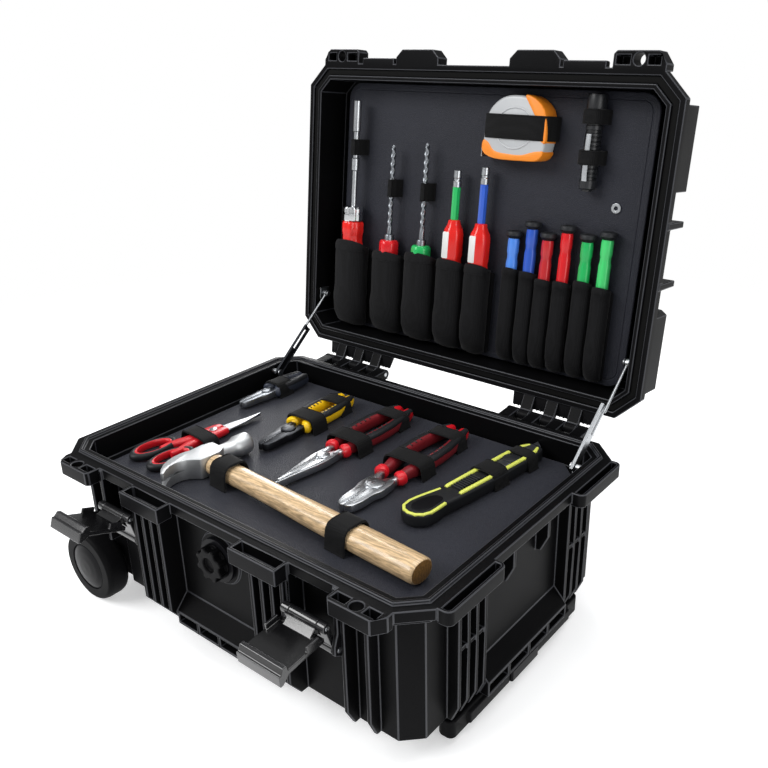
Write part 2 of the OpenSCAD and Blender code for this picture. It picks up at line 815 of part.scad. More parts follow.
// Corner bumpers and short ribs on the ends of the lid
module lid_side_blocks() {
  for (s = [-1, 1])
    translate([0, s > 0 ? 134 : -58, 0])
      rotate([90, 0, 0])
        linear_extrude(76)
          polygon([[wall_x - 4, lid_z], [half_w, lid_z], [half_w, lid_z + 34],
            [half_w - 12, lid_top - 4], [wall_x - 12, lid_top - 2], [wall_x - 12, lid_z + 20]]);
  for (y = [-28, 28])
    box(wall_x - 1, half_w + 1, y - 3, y + 3, lid_z + 2, lid_z + 38);
}

module lid_gasket() {
  color(rubber)
    opened()
      difference() {
        plate(6.4, lid_z + 2.5, lid_z + 5.9);
        plate(12.6, 0, lid_z + 9);
      }
}

module lid_board() {
  color(felt)
    opened()
      round_plate(-board_x, board_x, board_y0, board_y1, board_z, board_z + board_t, board_r);
}

module board_snap() {
  color(steel)
    opened() {
      translate([160, -36, board_z - 1.5])
        difference() {
          cylinder(h = 1.5 - 0.02, r = 5);
          translate([0, 0, -1]) cylinder(h = 4, r = 2);
        }
    }
}

module pocket(x, w, t, y0, y1, hole_r) {
  difference() {
    translate([x, 0, 0])
      round_plate(-w / 2, w / 2, y0, y1, board_z - t, board_z, 4);
    bar_y(y0 - 1, y1 - 12, x, board_z - t / 2, hole_r + clear);
  }
}

module pockets_wide() {
  color(felt)
    opened()
      for (i = [0:len(wide_xs) - 1])
        pocket(wide_xs[i], wide_w[i], wide_t[i], wide_y0[i], wide_y1, wide_r[i]);
}

module pockets_narrow() {
  color(felt)
    opened()
      for (i = [0:len(narrow_xs) - 1])
        pocket(narrow_xs[i], narrow_w, narrow_t, narrow_y0[i], narrow_y1, small_r);
}

// Elastic band over a tool on the board
module board_band(x, y, w, h, thick) {
  difference() {
    box(x - w / 2, x + w / 2, y - thick / 2, y + thick / 2, board_z - h, board_z);
    box(x - w / 2 + 1.5, x + w / 2 - 1.5, y - thick, y + thick, board_z - h + 1.5, board_z + 1);
  }
}

module board_bands() {
  color(felt)
    opened() {
      board_band(-165, -72, 16, 24, 18);
      board_band(-110, -30, 13, 22, 20);
      board_band(-63, -30, 13, 22, 20);
      board_band(51, -106, 78, 26, 24);
      board_band(131, -120, 23, 22, 14);
      board_band(131, -82, 23, 22, 14);
    }
}

module pallet() {
  color(felt)
    difference() {
      translate([0, 0, pallet_z - pallet_t])
        linear_extrude(pallet_t)
          polygon(oct_points(pallet_x, pallet_y, 16));
      for (s = [-1, 1])
        round_plate(s * 40 - 14, s * 40 + 14, -pallet_y + 4, -pallet_y + 16, 0, rim_z, 5);
    }
}

// Elastic band over a tool on the pallet
module pallet_band(x, y, w, h, thick, turn) {
  translate([x, y, pallet_z])
    rotate([0, 0, turn])
      difference() {
        box(-w / 2, w / 2, -thick / 2, thick / 2, 0, h);
        box(-w / 2 + 1.5, w / 2 - 1.5, -thick, thick, -1, h - 1.5);
      }
}

module pallet_bands() {
  color(felt) {
    pallet_band(-60, -82.6, 34, 25.2, 26, hammer_turn + 90);
    pallet_band(100, -93.8, 34, 25.2, 26, hammer_turn + 90);
    pallet_band(-151, -44, 48, 13, 18, -5);
    pallet_band(-176, 96, 34, 19, 24, -2);
    pallet_band(-84, 48, 44, 19, 24, 0);
    pallet_band(-14, 38, 50, 19, 24, 0);
    pallet_band(63, 38, 54, 19, 24, 0);
    pallet_band(137, 66, 36, 19, 24, -7);
  }
}

hammer_x = -97;
hammer_y = -80;
hammer_turn = -4;
hammer_z = tool_z + 11.5;

module tool_hammer_handle() {
  color([0.8, 0.6, 0.36])
    translate([hammer_x, hammer_y, hammer_z])
      rotate([0, 0, hammer_turn])
        difference() {
          union() {
            scale([1, 1.25, 1]) bar_x(14.5, 280, 0, 0, 11);
          }
          box(0, 300, -20, 20, -30, -11);
        }
}

module tool_hammer_head() {
  color(steel)
    translate([hammer_x, hammer_y, hammer_z])
      rotate([0, 0, hammer_turn]) {
        box(-13, 14, -14, 14, -11, 11);
        bar_y(13, 34, 0, 0, 9);
        bar_y(34, 52, 0, 0, 11);
        difference() {
          translate([0, 0, -11])
            linear_extrude(22)
              polygon([[-12.5, -13], [-13, -26], [-10, -38], [-3, -48], [6, -55], [8, -52],
                [4, -42], [4, -30], [9, -20], [12, -13]]);
          translate([-20, -60, -11])
            rotate([0, -90, 0])
              mirror([0, 0, 1])
                linear_extrude(40)
                  polygon([[8, -1], [14, -1], [11.6, 32], [10.4, 32]]);
        }
      }
}

// Two straight handles and a nose, lying on the pallet with the nose forwards
module pliers(x, y, turn, nose, nose_w, span, spread, thick) {
  translate([x, y, tool_z])
    rotate([0, 0, turn]) {
      linear_extrude(thick * 0.6)
        polygon([[-nose_w * 0.2, -nose], [nose_w * 0.2, -nose], [nose_w * 0.55, -nose * 0.35],
          [nose_w * 0.6, 12], [-nose_w * 0.6, 12], [-nose_w * 0.55, -nose * 0.35]]);
      for (s = [-1, 1])
        linear_extrude(thick)
          polygon([[s * 1, 8], [s * nose_w * 0.6, 8], [s * (spread + 5), span * 0.35],
            [s * (spread + 5), span * 0.7], [s * (spread + 2), span],
            [s * (spread - 6), span], [s * (spread - 5), span * 0.7],
            [s * (spread - 5), span * 0.38]]);
    }
}

module tool_dark_pliers() { color([0.12, 0.13, 0.15]) pliers(-176, 76, -2, 38, 16, 60, 7, 15); }
module tool_yellow_pliers() { color([0.9, 0.72, 0.1]) pliers(-84, 20, 3, 40, 22, 100, 12, 15); }
module tool_long_nose_pliers() { color([0.75, 0.1, 0.1]) pliers(-14, -2, 0, 64, 20, 134, 14, 15); }
module tool_combination_pliers() { color([0.75, 0.1, 0.1]) pliers(63, -14, 1, 44, 26, 142, 16, 15); }

module tool_scissors() {
  color([0.7, 0.1, 0.1])
    translate([-151, -46, tool_z])
      rotate([0, 0, -5]) {
        linear_extrude(4) polygon([[0, 84], [8, 0], [-8, 0]]);
        linear_extrude(8) polygon([[-8, 4], [8, 4], [14, -20], [-14, -20]]);
        for (s = [-1, 1])
          translate([s * 16, -44, 0])
            difference() {
              linear_extrude(9) scale([0.7, 1.25]) circle(r = 22);
              translate([0, 0, -1]) linear_extrude(11) scale([0.7, 1.25]) circle(r = 15);
            }
      }
}

module tool_knife() {
  color([0.1, 0.1, 0.1])
    translate([137, 54, tool_z])
      rotate([0, 0, -7])
        linear_extrude(15)
          polygon([[-15, -92], [-4, -97], [8, -92], [14, -80], [11, -50], [14, -10], [14, 60],
            [8, 84], [-6, 84], [-14, 60], [-12, -10], [-16, -50], [-19, -80]]);
}

module tool_tape_measure() {
  color([0.55, 0.56, 0.58])
    opened()
      difference() {
        round_plate(51 - 36, 51 + 36, -137, -74, board_z - 24 + clear, board_z - clear, 16);
        translate([51, -73, board_z - 40]) cylinder(h = 80, r = 2);
      }
}

module tool_torch() {
  color([0.08, 0.08, 0.09])
    opened() {
      bar_y(-141, -50, 131, board_z - 9.8, 9.5);
    }
}

// A tool in one of the wide pockets: its shaft, collar and handle
module driver(i, y_tip, shaft_r, y_collar, collar_r, y_body) {
  z = board_z - wide_t[i] / 2;
  bar_y(y_tip, y_collar, wide_xs[i], z, shaft_r);
  bar_y(y_collar, y_body, wide_xs[i], z, collar_r);
  bar_y(y_body, 118, wide_xs[i], z, wide_r[i]);
}

module tool_socket_driver() {
  color([0.8, 0.1, 0.1])
    opened() {
      driver(0, -124, 4.6, -4, 12.5, 14);
    }
}

module tool_twist_drivers() {
  color(steel)
    opened() {
      driver(1, -79, 3.4, 24, 5.6, 30);
      driver(2, -84, 3.4, 22, 5.6, 28);
    }
}

module tool_testers() {
  color([0.85, 0.1, 0.1])
    opened() {
      driver(3, -58, 4.5, -4, 7, 2);
      driver(4, -64, 4.5, -4, 7, 2);
    }
}

module tool_small_drivers() {
  color([0.2, 0.3, 0.8])
    opened()
      for (i = [0:len(narrow_xs) - 1]) {
        bar_y(cap_ys[i], cap_ys[i] + 8, narrow_xs[i], board_z - narrow_t / 2, cap_r);
        bar_y(cap_ys[i] + 8, 118, narrow_xs[i], board_z - narrow_t / 2, small_r);
      }
}

base_shell();
base_feet();
rail_cover();
rail_outer_tubes();
rail_middle_tubes();
rail_inner_tubes();
pull_grip();
pull_button();
wheel_tyre_front();
wheel_tyre_rear();
wheel_hub_front();
wheel_hub_rear();
wheel_axles();
latch_foot_pins();
latch_link_left();
latch_link_right();
latch_knee_pin_left();
latch_knee_pin_right();
latch_lever_left();
latch_lever_right();
hinge_pins();
valve_body();
valve_knob();
stay_pegs();
stay_channel_left();
stay_channel_right();
stay_wire_left();
stay_wire_right();
stay_brackets();
lid_shell();
lid_gasket();
lid_board();
board_snap();
pockets_wide();
pockets_narrow();
board_bands();
pallet();
pallet_bands();
tool_hammer_head();
tool_hammer_handle();
tool_scissors();
tool_dark_pliers();
tool_yellow_pliers();
tool_long_nose_pliers();
tool_combination_pliers();
tool_knife();
tool_tape_measure();
tool_torch();
tool_socket_driver();
tool_twist_drivers();
tool_testers();
tool_small_drivers();
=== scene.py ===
"""Wheeled hard tool case, open, with its board of drivers and its pallet of hand tools."""

import json
import math

import bmesh
import bpy
from bpy.props import FloatProperty, FloatVectorProperty, PointerProperty
from mathutils import Matrix, Vector

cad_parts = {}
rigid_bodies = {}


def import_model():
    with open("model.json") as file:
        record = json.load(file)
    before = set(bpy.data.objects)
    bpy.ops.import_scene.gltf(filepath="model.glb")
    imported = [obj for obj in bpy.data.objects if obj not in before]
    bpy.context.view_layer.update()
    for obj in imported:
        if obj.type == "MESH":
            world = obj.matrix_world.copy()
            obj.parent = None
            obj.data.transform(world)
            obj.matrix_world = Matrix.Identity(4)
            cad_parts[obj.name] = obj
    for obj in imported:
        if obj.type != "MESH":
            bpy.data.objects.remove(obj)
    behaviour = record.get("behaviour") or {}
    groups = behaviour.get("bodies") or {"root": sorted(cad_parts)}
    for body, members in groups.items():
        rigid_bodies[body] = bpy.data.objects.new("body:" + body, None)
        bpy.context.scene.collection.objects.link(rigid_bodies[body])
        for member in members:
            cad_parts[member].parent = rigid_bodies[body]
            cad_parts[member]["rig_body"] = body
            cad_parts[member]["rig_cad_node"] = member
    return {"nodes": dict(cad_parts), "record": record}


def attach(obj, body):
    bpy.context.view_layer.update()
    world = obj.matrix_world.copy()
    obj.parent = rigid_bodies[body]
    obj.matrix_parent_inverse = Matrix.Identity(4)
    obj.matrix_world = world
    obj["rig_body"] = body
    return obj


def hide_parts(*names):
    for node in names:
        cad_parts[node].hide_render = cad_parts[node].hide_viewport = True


bl_info = {
    "name": "Wheeled Hard Tool Case",
    "version": (1, 0, 0),
    "blender": (4, 5, 0),
    "location": "View3D > Sidebar > Tool Case",
    "description": "Builds an open wheeled tool case with its latches, board, pallet and hand tools",
    "category": "Object",
}

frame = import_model()
NODES = frame["nodes"]
BODY_OF = {n: b for b, names in frame["record"]["behaviour"]["bodies"].items() for n in names}
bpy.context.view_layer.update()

MM = 0.001
HINGE_Y = 184.0
HINGE_Z = 157.0
LID_ANGLE = 97.0
HINGE_X = 132.0
HINGE_WEB_HALF = 47.5
TOOTH_PITCH = 4.5
TOOTH_COUNT = 21
TOOTH_HALF = 0.9
BOARD_Z = 194.4
WIDE_LINE_Z = BOARD_Z - 13.0
SOCKET_LINE_Z = BOARD_Z - 15.0
NARROW_LINE_Z = BOARD_Z - 9.5
PALLET_Z = 141.0
TOOL_Z = 141.3
LID = (
    Matrix.Translation((0, HINGE_Y * MM, HINGE_Z * MM))
    @ Matrix.Rotation(math.radians(-LID_ANGLE), 4, "X")
    @ Matrix.Translation((0, -HINGE_Y * MM, -HINGE_Z * MM))
)


def srgb(code, alpha=1.0):
    """A hex colour as linear values."""
    parts = [int(code[i : i + 2], 16) / 255 for i in (1, 3, 5)]
    linear = [c / 12.92 if c <= 0.04045 else ((c + 0.055) / 1.055) ** 2.4 for c in parts]
    return (*linear, alpha)


def colour_property(name, description, code):
    return FloatVectorProperty(
        name=name, description=description, subtype="COLOR", size=3, min=0, max=1,
        default=srgb(code)[:3],
    )


def length_property(name, description, value):
    return FloatProperty(
        name=name, description=description, default=value * MM, min=0.00001, max=0.05,
        unit="LENGTH", subtype="DISTANCE", precision=5,
    )


class ToolCaseColours(bpy.types.PropertyGroup):
    shell: colour_property("Shell", "Moulded polypropylene of the case", "#0a0a0b")
    # The paler colour of the shells' bevels is a painted edge highlight.
    edge_highlight: colour_property("Painted edge highlight", "Pale polypropylene on the shells' bevels, a painted edge highlight",
                            "#333438")
    latch: colour_property("Latch", "Glass filled nylon of the latches", "#0b0b0c")
    board: colour_property("Board", "Leatherette on the lid board and the pallet", "#262832")
    pocket: colour_property("Pocket", "Woven nylon of the pockets", "#0b0b0d")
    elastic: colour_property("Elastic", "Knitted elastic of the bands", "#09090a")
    wood: colour_property("Handle wood", "Varnished ash of the hammer's handle", "#dfbf93")
    red: colour_property("Red grip", "Dipped vinyl of the pliers and scissors", "#b9141f")
    yellow: colour_property("Yellow grip", "Grips of the wire stripper and cutter", "#e8bb12")


class ToolCaseSizes(bpy.types.PropertyGroup):
    edge: length_property("Edge rounding", "Radius on the shell's moulded edges", 0.9)
    fine_edge: length_property("Fine edge rounding", "Radius on the small fittings' edges", 0.45)
    grain: length_property("Shell grain", "Spacing of the moulded grain", 1.5)
    leather_grain: length_property("Board grain", "Spacing of the leatherette's grain", 1.7)
    weave: length_property("Pocket weave", "Thread spacing of the pockets", 1.3)
    elastic_rib: length_property("Elastic rib", "Spacing of the elastic's ribs", 1.4)


class ToolCaseSettings(bpy.types.PropertyGroup):
    colours: PointerProperty(type=ToolCaseColours)
    sizes: PointerProperty(type=ToolCaseSizes)


def settings():
    return bpy.context.scene.tool_case


def add_node(tree, kind, values=None, links=None):
    """Adds one node with its settings, its socket values and its incoming links."""
    node = tree.nodes.new(kind)
    for key, value in (values or {}).items():
        if isinstance(key, str) and hasattr(node, key):
            setattr(node, key, value)
        else:
            node.inputs[key].default_value = value
    for key, socket in (links or {}).items():
        tree.links.new(socket, node.inputs[key])
    return node


def blank(name):
    """A material with its surface shader, and the piece's own coordinates."""
    material = bpy.data.materials.new(name)
    material.use_nodes = True
    tree = material.node_tree
    tree.nodes.clear()
    shader = add_node(tree, "ShaderNodeBsdfPrincipled")
    add_node(tree, "ShaderNodeOutputMaterial", None, {"Surface": shader.outputs[0]})
    place = add_node(tree, "ShaderNodeTexCoord").outputs["Object"]
    return material, tree, shader, place


def two_tones(tree, factor, dark, light):
    """A colour between two others."""
    mix = add_node(tree, "ShaderNodeMix", {"data_type": "RGBA", 6: dark, 7: light}, {0: factor})
    return mix.outputs[2]


def lighter(colour, share):
    return (*[min(1.0, c * share) for c in tuple(colour)[:3]], 1.0)


def moulded_plastic(name, colour, roughness, grain, height, edge_wear_and_highlight=1.9, shine=0.5):
    """Injection moulded plastic. Spark-eroded moulds leave a fine even grain with a soft sheen,
    the sharp edges are paler, partly from wear and partly as a painted edge highlight, and the
    flow in the mould leaves faint cloudy patches."""
    material, tree, shader, place = blank(name)
    cloud = add_node(tree, "ShaderNodeTexNoise", {"Scale": 1 / 0.06, "Detail": 3.0}, {"Vector": place})
    # The real grain is about 0.5 mm, drawn coarser so that it shows at this distance.
    fine = add_node(tree, "ShaderNodeTexNoise", {"Scale": 1 / grain, "Detail": 2.5}, {"Vector": place})
    # Sharp edges, found by their pointiness, are painted paler: partly wear, partly a painted edge
    # highlight.
    edge = add_node(tree, "ShaderNodeNewGeometry").outputs["Pointiness"]
    wear_and_highlight_mask = add_node(
        tree, "ShaderNodeMapRange",
        {"From Min": 0.505, "From Max": 0.57, "To Min": 0.0, "To Max": 1.0}, {"Value": edge},
    )
    body = two_tones(tree, cloud.outputs[0], lighter(colour, 0.82), lighter(colour, 1.2))
    worn_and_highlit_edge = add_node(
        tree, "ShaderNodeMix", {"data_type": "RGBA", 7: lighter(colour, edge_wear_and_highlight)},
        {0: wear_and_highlight_mask.outputs[0], 6: body},
    )
    tree.links.new(worn_and_highlit_edge.outputs[2], shader.inputs["Base Color"])
    sheen = add_node(
        tree, "ShaderNodeMapRange", {"To Min": roughness - 0.05, "To Max": roughness + 0.07},
        {"Value": cloud.outputs[0]},
    )
    tree.links.new(sheen.outputs[0], shader.inputs["Roughness"])
    bump = add_node(
        tree, "ShaderNodeBump", {"Strength": 0.55, "Distance": height}, {"Height": fine.outputs[0]}
    )
    tree.links.new(bump.outputs[0], shader.inputs["Normal"])
    shader.inputs["IOR"].default_value = 1.49
    shader.inputs["Specular IOR Level"].default_value = shine
    return material


def leatherette(name, colour, grain):
    """Embossed vinyl on card. Its pebble grain is a net of fine creases, and the skin is matt with
    a soft gleam where the light grazes it."""
    material, tree, shader, place = blank(name)
    warp = add_node(tree, "ShaderNodeTexNoise", {"Scale": 1 / 0.006, "Detail": 2.0}, {"Vector": place})
    pebble = add_node(
        tree, "ShaderNodeTexVoronoi", {"feature": "DISTANCE_TO_EDGE", "Scale": 1 / grain},
        {"Vector": place},
    )
    crease = add_node(
        tree, "ShaderNodeMapRange", {"From Max": 0.22, "To Min": 0.0, "To Max": 1.0},
        {"Value": pebble.outputs[0]},
    )
    # The creases are painted darker than the pebbles, as painted shade in them.
    tone = two_tones(tree, crease.outputs[0], lighter(colour, 0.72), lighter(colour, 1.06))
    patch = add_node(tree, "ShaderNodeTexNoise", {"Scale": 1 / 0.09, "Detail": 2.0}, {"Vector": place})
    faded = add_node(
        tree, "ShaderNodeMix",
        {"data_type": "RGBA", "blend_type": "MULTIPLY", 0: 0.35}, {6: tone, 7: patch.outputs[0]},
    )
    tree.links.new(faded.outputs[2], shader.inputs["Base Color"])
    height = add_node(
        tree, "ShaderNodeMath", {"operation": "MULTIPLY_ADD", 1: 0.35},
        {0: warp.outputs[0], 2: crease.outputs[0]},
    )
    bump = add_node(
        tree, "ShaderNodeBump", {"Strength": 0.6, "Distance": 0.00025}, {"Height": height.outputs[0]}
    )
    tree.links.new(bump.outputs[0], shader.inputs["Normal"])
    shader.inputs["Roughness"].default_value = 0.5
    shader.inputs["Specular IOR Level"].default_value = 0.25
    shader.inputs["Sheen Weight"].default_value = 0.08
    shader.inputs["Sheen Roughness"].default_value = 0.5
    return material


def woven(name, colour, pitch, turn=(0, 0, 0)):
    """Plain woven nylon. Warp and weft cross at right angles, so it reads as a fine grid: the thread
    tops are painted lighter as a painted highlight and the gaps darker as painted shade, with a
    soft sheen from the filaments."""
    material, tree, shader, place = blank(name)
    laid = add_node(tree, "ShaderNodeMapping", {"Rotation": turn}, {"Vector": place})
    threads = []
    for direction in ("X", "Y", "Z"):
        wave = add_node(
            tree, "ShaderNodeTexWave",
            {"bands_direction": direction, "Scale": 0.314 / pitch, "Distortion": 0.6,
             "Detail": 1.0, "Detail Scale": 0.5},
            {"Vector": laid.outputs[0]},
        )
        threads.append(wave.outputs["Fac"])
    cross = add_node(tree, "ShaderNodeMath", {"operation": "ADD"}, {0: threads[0], 1: threads[1]})
    cloth = add_node(tree, "ShaderNodeMath", {"operation": "ADD"}, {0: cross.outputs[0], 1: threads[2]})
    level = add_node(
        tree, "ShaderNodeMapRange", {"From Min": 0.6, "From Max": 2.4}, {"Value": cloth.outputs[0]}
    )
    # The thread tops are painted lighter as a painted highlight, and the gaps between them darker as
    # painted shade.
    tone = two_tones(tree, level.outputs[0], lighter(colour, 0.5), lighter(colour, 1.7))
    tree.links.new(tone, shader.inputs["Base Color"])
    bump = add_node(
        tree, "ShaderNodeBump", {"Strength": 0.7, "Distance": 0.0003}, {"Height": level.outputs[0]}
    )
    tree.links.new(bump.outputs[0], shader.inputs["Normal"])
    shader.inputs["Roughness"].default_value = 0.8
    shader.inputs["Specular IOR Level"].default_value = 0.2
    shader.inputs["Sheen Weight"].default_value = 0.06
    shader.inputs["Sheen Roughness"].default_value = 0.4
    return material


def bare_metal(name, colour, roughness, scratch=0.004, stretch=(1, 1, 12)):
    """Plated or polished steel. Grinding leaves long fine lines that break its reflection, and
    the plating is a little cloudy."""
    material, tree, shader, place = blank(name)
    drawn = add_node(tree, "ShaderNodeMapping", {"Scale": stretch}, {"Vector": place})
    lines = add_node(
        tree, "ShaderNodeTexNoise", {"Scale": 1 / scratch, "Detail": 4.0, "Roughness": 0.7},
        {"Vector": drawn.outputs[0]},
    )
    cloud = add_node(tree, "ShaderNodeTexNoise", {"Scale": 1 / 0.02, "Detail": 2.0}, {"Vector": place})
    tone = two_tones(tree, cloud.outputs[0], lighter(srgb(colour), 0.8), lighter(srgb(colour), 1.12))
    tree.links.new(tone, shader.inputs["Base Color"])
    gloss = add_node(
        tree, "ShaderNodeMapRange", {"To Min": roughness * 0.7, "To Max": roughness * 1.5},
        {"Value": lines.outputs[0]},
    )
    tree.links.new(gloss.outputs[0], shader.inputs["Roughness"])
    bump = add_node(
        tree, "ShaderNodeBump", {"Strength": 0.12, "Distance": 0.0001}, {"Height": lines.outputs[0]}
    )
    tree.links.new(bump.outputs[0], shader.inputs["Normal"])
    shader.inputs["Metallic"].default_value = 1.0
    return material


def varnished_ash(name, colour):
    """Ash turned on a lathe and varnished. Growth rings run the handle's length as darker lines,
    short pores lie between them, and the varnish gives a clear gloss over it."""
    material, tree, shader, place = blank(name)
    grain = add_node(
        tree, "ShaderNodeMapping", {"Rotation": (0, 0, math.radians(4)), "Scale": (0.12, 1, 1)},
        {"Vector": place},
    )
    rings = add_node(
        tree, "ShaderNodeTexWave",
        {"bands_direction": "Y", "Scale": 0.314 / 0.003, "Distortion": 9.0, "Detail": 4.0,
         "Detail Scale": 2.2},
        {"Vector": grain.outputs[0]},
    )
    pores = add_node(
        tree, "ShaderNodeTexNoise", {"Scale": 1 / 0.0012, "Detail": 3.0, "Roughness": 0.65},
        {"Vector": grain.outputs[0]},
    )
    tone = two_tones(tree, rings.outputs["Fac"], lighter(colour, 0.7), lighter(colour, 1.08))
    speck = add_node(
        tree, "ShaderNodeMapRange", {"From Min": 0.35, "From Max": 0.62, "To Min": 0.62, "To Max": 1.0},
        {"Value": pores.outputs[0]},
    )
    wood = add_node(
        tree, "ShaderNodeMix", {"data_type": "RGBA", "blend_type": "MULTIPLY", 0: 1.0},
        {6: tone, 7: speck.outputs[0]},
    )
    tree.links.new(wood.outputs[2], shader.inputs["Base Color"])
    bump = add_node(
        tree, "ShaderNodeBump", {"Strength": 0.2, "Distance": 0.0002}, {"Height": pores.outputs[0]}
    )
    tree.links.new(bump.outputs[0], shader.inputs["Normal"])
    shader.inputs["Roughness"].default_value = 0.36
    shader.inputs["Coat Weight"].default_value = 0.4
    shader.inputs["Coat Roughness"].default_value = 0.15
    return material


def backdrop_paint(name):
    """Matt pale paper. Only its own look in the camera is lifted, so it gives the case no light."""
    material, tree, shader, place = blank(name)
    tree.nodes.remove(shader)
    fibre = add_node(tree, "ShaderNodeTexNoise", {"Scale": 40.0, "Detail": 2.0}, {"Vector": place})
    tone = two_tones(tree, fibre.outputs[0], srgb("#ecedee"), srgb("#f1f1f1"))
    paper = add_node(tree, "ShaderNodeBsdfDiffuse", None, {"Color": tone})
    glow = add_node(tree, "ShaderNodeEmission", {"Color": (1, 1, 1, 1), "Strength": 0.42})
    rays = add_node(tree, "ShaderNodeLightPath")
    seen = add_node(
        tree, "ShaderNodeMath", {"operation": "MAXIMUM"},
        {0: rays.outputs["Is Camera Ray"], 1: rays.outputs["Is Glossy Ray"]},
    )
    both = add_node(tree, "ShaderNodeAddShader", None, {0: paper.outputs[0], 1: glow.outputs[0]})
    reach = add_node(tree, "ShaderNodeVectorMath", {"operation": "LENGTH"}, {0: place})
    far = add_node(
        tree, "ShaderNodeMapRange",
        {"interpolation_type": "SMOOTHSTEP", "From Min": 0.5, "From Max": 1.3},
        {"Value": reach.outputs["Value"]},
    )
    sky = add_node(tree, "ShaderNodeEmission", {"Color": (1, 1, 1, 1), "Strength": 1.0})
    faded = add_node(
        tree, "ShaderNodeMixShader", None, {0: far.outputs[0], 1: both.outputs[0], 2: sky.outputs[0]}
    )
    mixed = add_node(
        tree, "ShaderNodeMixShader", None,
        {0: seen.outputs[0], 1: paper.outputs[0], 2: faded.outputs[0]},
    )
    output = next(n for n in tree.nodes if n.type == "OUTPUT_MATERIAL")
    tree.links.new(mixed.outputs[0], output.inputs[0])
    return material


FINISHES = {}


def finish(name):
    """The material of that name, made when it is first used."""
    if name in FINISHES:
        return FINISHES[name]
    c, s = settings().colours, settings().sizes
    makers = {
        # The sixth value of each moulded plastic sets how much paler its sharp edges are, partly wear and
        # partly a painted edge highlight.
        "moulded polypropylene": lambda n: moulded_plastic(n, c.shell, 0.38, s.grain, 0.00014, 2.5,
                                                           0.045),
        # Paler polypropylene for the shells' bevels, a painted edge highlight.
        "polypropylene with painted edge highlight": lambda n: moulded_plastic(n, c.edge_highlight, 0.36, s.grain, 0.00006, 1.2,
                                                          0.3),
        "glass filled nylon": lambda n: moulded_plastic(n, c.latch, 0.17, s.grain, 0.00004, 5.0, 0.9),
        "polished ABS": lambda n: moulded_plastic(n, srgb("#0c0c0e"), 0.3, s.grain, 0.00003, 3.0, 0.07),
        "polyurethane tyre": lambda n: moulded_plastic(n, srgb("#0a0a0b"), 0.5, 0.002, 0.0001, 3.0,
                                                       0.05),
        "moulded rubber": lambda n: moulded_plastic(n, srgb("#0a0a0a"), 0.7, 0.0011, 0.0001, 2.0, 0.08),
        "leatherette": lambda n: leatherette(n, c.board, s.leather_grain),
        "woven nylon": lambda n: woven(n, c.pocket, s.weave, (math.radians(7), 0, 0)),
        "knitted elastic": lambda n: woven(n, c.elastic, s.elastic_rib),
        "zinc plated steel": lambda n: bare_metal(n, "#b9bcbf", 0.3),
        "anodised aluminium": lambda n: bare_metal(n, "#a4a7ab", 0.34, 0.003, (12, 1, 1)),
        "blackened steel": lambda n: bare_metal(n, "#3a3c40", 0.36),
        "polished tool steel": lambda n: bare_metal(n, "#c2c5c8", 0.27, 0.003, (1, 12, 1)),
        "chromed steel": lambda n: bare_metal(n, "#d4d6d8", 0.16, 0.004, (1, 6, 1)),
        "ground tool steel": lambda n: bare_metal(n, "#8d9196", 0.34, 0.003, (12, 1, 1)),
        "forged steel": lambda n: bare_metal(n, "#cfd1d2", 0.42, 0.002, (1, 1, 6)),
        "black oxide": lambda n: moulded_plastic(n, srgb("#101113"), 0.34, 0.002, 0.00003, 2.5, 0.5),
        "varnished ash": lambda n: varnished_ash(n, c.wood),
        "red dipped vinyl": lambda n: moulded_plastic(n, c.red, 0.32, 0.002, 0.00005, 1.25),
        "dark red vinyl": lambda n: moulded_plastic(n, srgb("#6e1a20"), 0.36, 0.002, 0.00005, 1.5, 0.4),
        "yellow vinyl": lambda n: moulded_plastic(n, c.yellow, 0.38, 0.002, 0.00005, 1.1),
        "black soft grip": lambda n: moulded_plastic(n, srgb("#111214"), 0.5, 0.0016, 0.00016, 2.5,
                                                     0.3),
        "navy grip": lambda n: moulded_plastic(n, srgb("#20242e"), 0.45, 0.0016, 0.0001),
        "lime vinyl": lambda n: moulded_plastic(n, srgb("#c9cf5a"), 0.42, 0.002, 0.00005, 1.1),
        "end grain": lambda n: varnished_ash(n, srgb("#8f6a3c")),
        "red acetate handle": lambda n: moulded_plastic(n, srgb("#d8221c"), 0.16, 0.003, 0.00002, 1.2),
        "dull red acetate": lambda n: moulded_plastic(n, srgb("#b8262b"), 0.2, 0.003, 0.00002, 1.2),
        "silver lacquer": lambda n: moulded_plastic(n, srgb("#b4b6b8"), 0.3, 0.002, 0.00003, 1.1),
        "orange rubber": lambda n: moulded_plastic(n, srgb("#e8851c"), 0.42, 0.0016, 0.00008, 1.1),
        "red acetate": lambda n: moulded_plastic(n, srgb("#cf1c22"), 0.18, 0.003, 0.00002, 1.2),
        "green acetate": lambda n: moulded_plastic(n, srgb("#1fa857"), 0.2, 0.003, 0.00002, 1.2),
        "blue acetate": lambda n: moulded_plastic(n, srgb("#2d56b8"), 0.2, 0.003, 0.00002, 1.2),
        "pale green acetate": lambda n: moulded_plastic(n, srgb("#3fc36a"), 0.2, 0.003, 0.00002, 1.2),
        "pale blue acetate": lambda n: moulded_plastic(n, srgb("#4d86dd"), 0.2, 0.003, 0.00002, 1.2),
        "bare white label": lambda n: moulded_plastic(n, srgb("#dcdcda"), 0.4, 0.003, 0.00002, 1.0),
    }
    FINISHES[name] = makers[name](name)
    return FINISHES[name]


def clear_selection():
    if bpy.context.object and bpy.context.object.mode != "OBJECT":
        bpy.ops.object.mode_set(mode="OBJECT")
    bpy.ops.object.select_all(action="DESELECT")


def activate(piece):
    clear_selection()
    piece.select_set(True)
    bpy.context.view_layer.objects.active = piece


def modify(piece, kind, **values):
    """Applies one modifier."""
    activate(piece)
    modifier = piece.modifiers.new(kind, kind)
    for key, value in values.items():
        setattr(modifier, key, value)
    bpy.ops.object.modifier_apply(modifier=modifier.name)


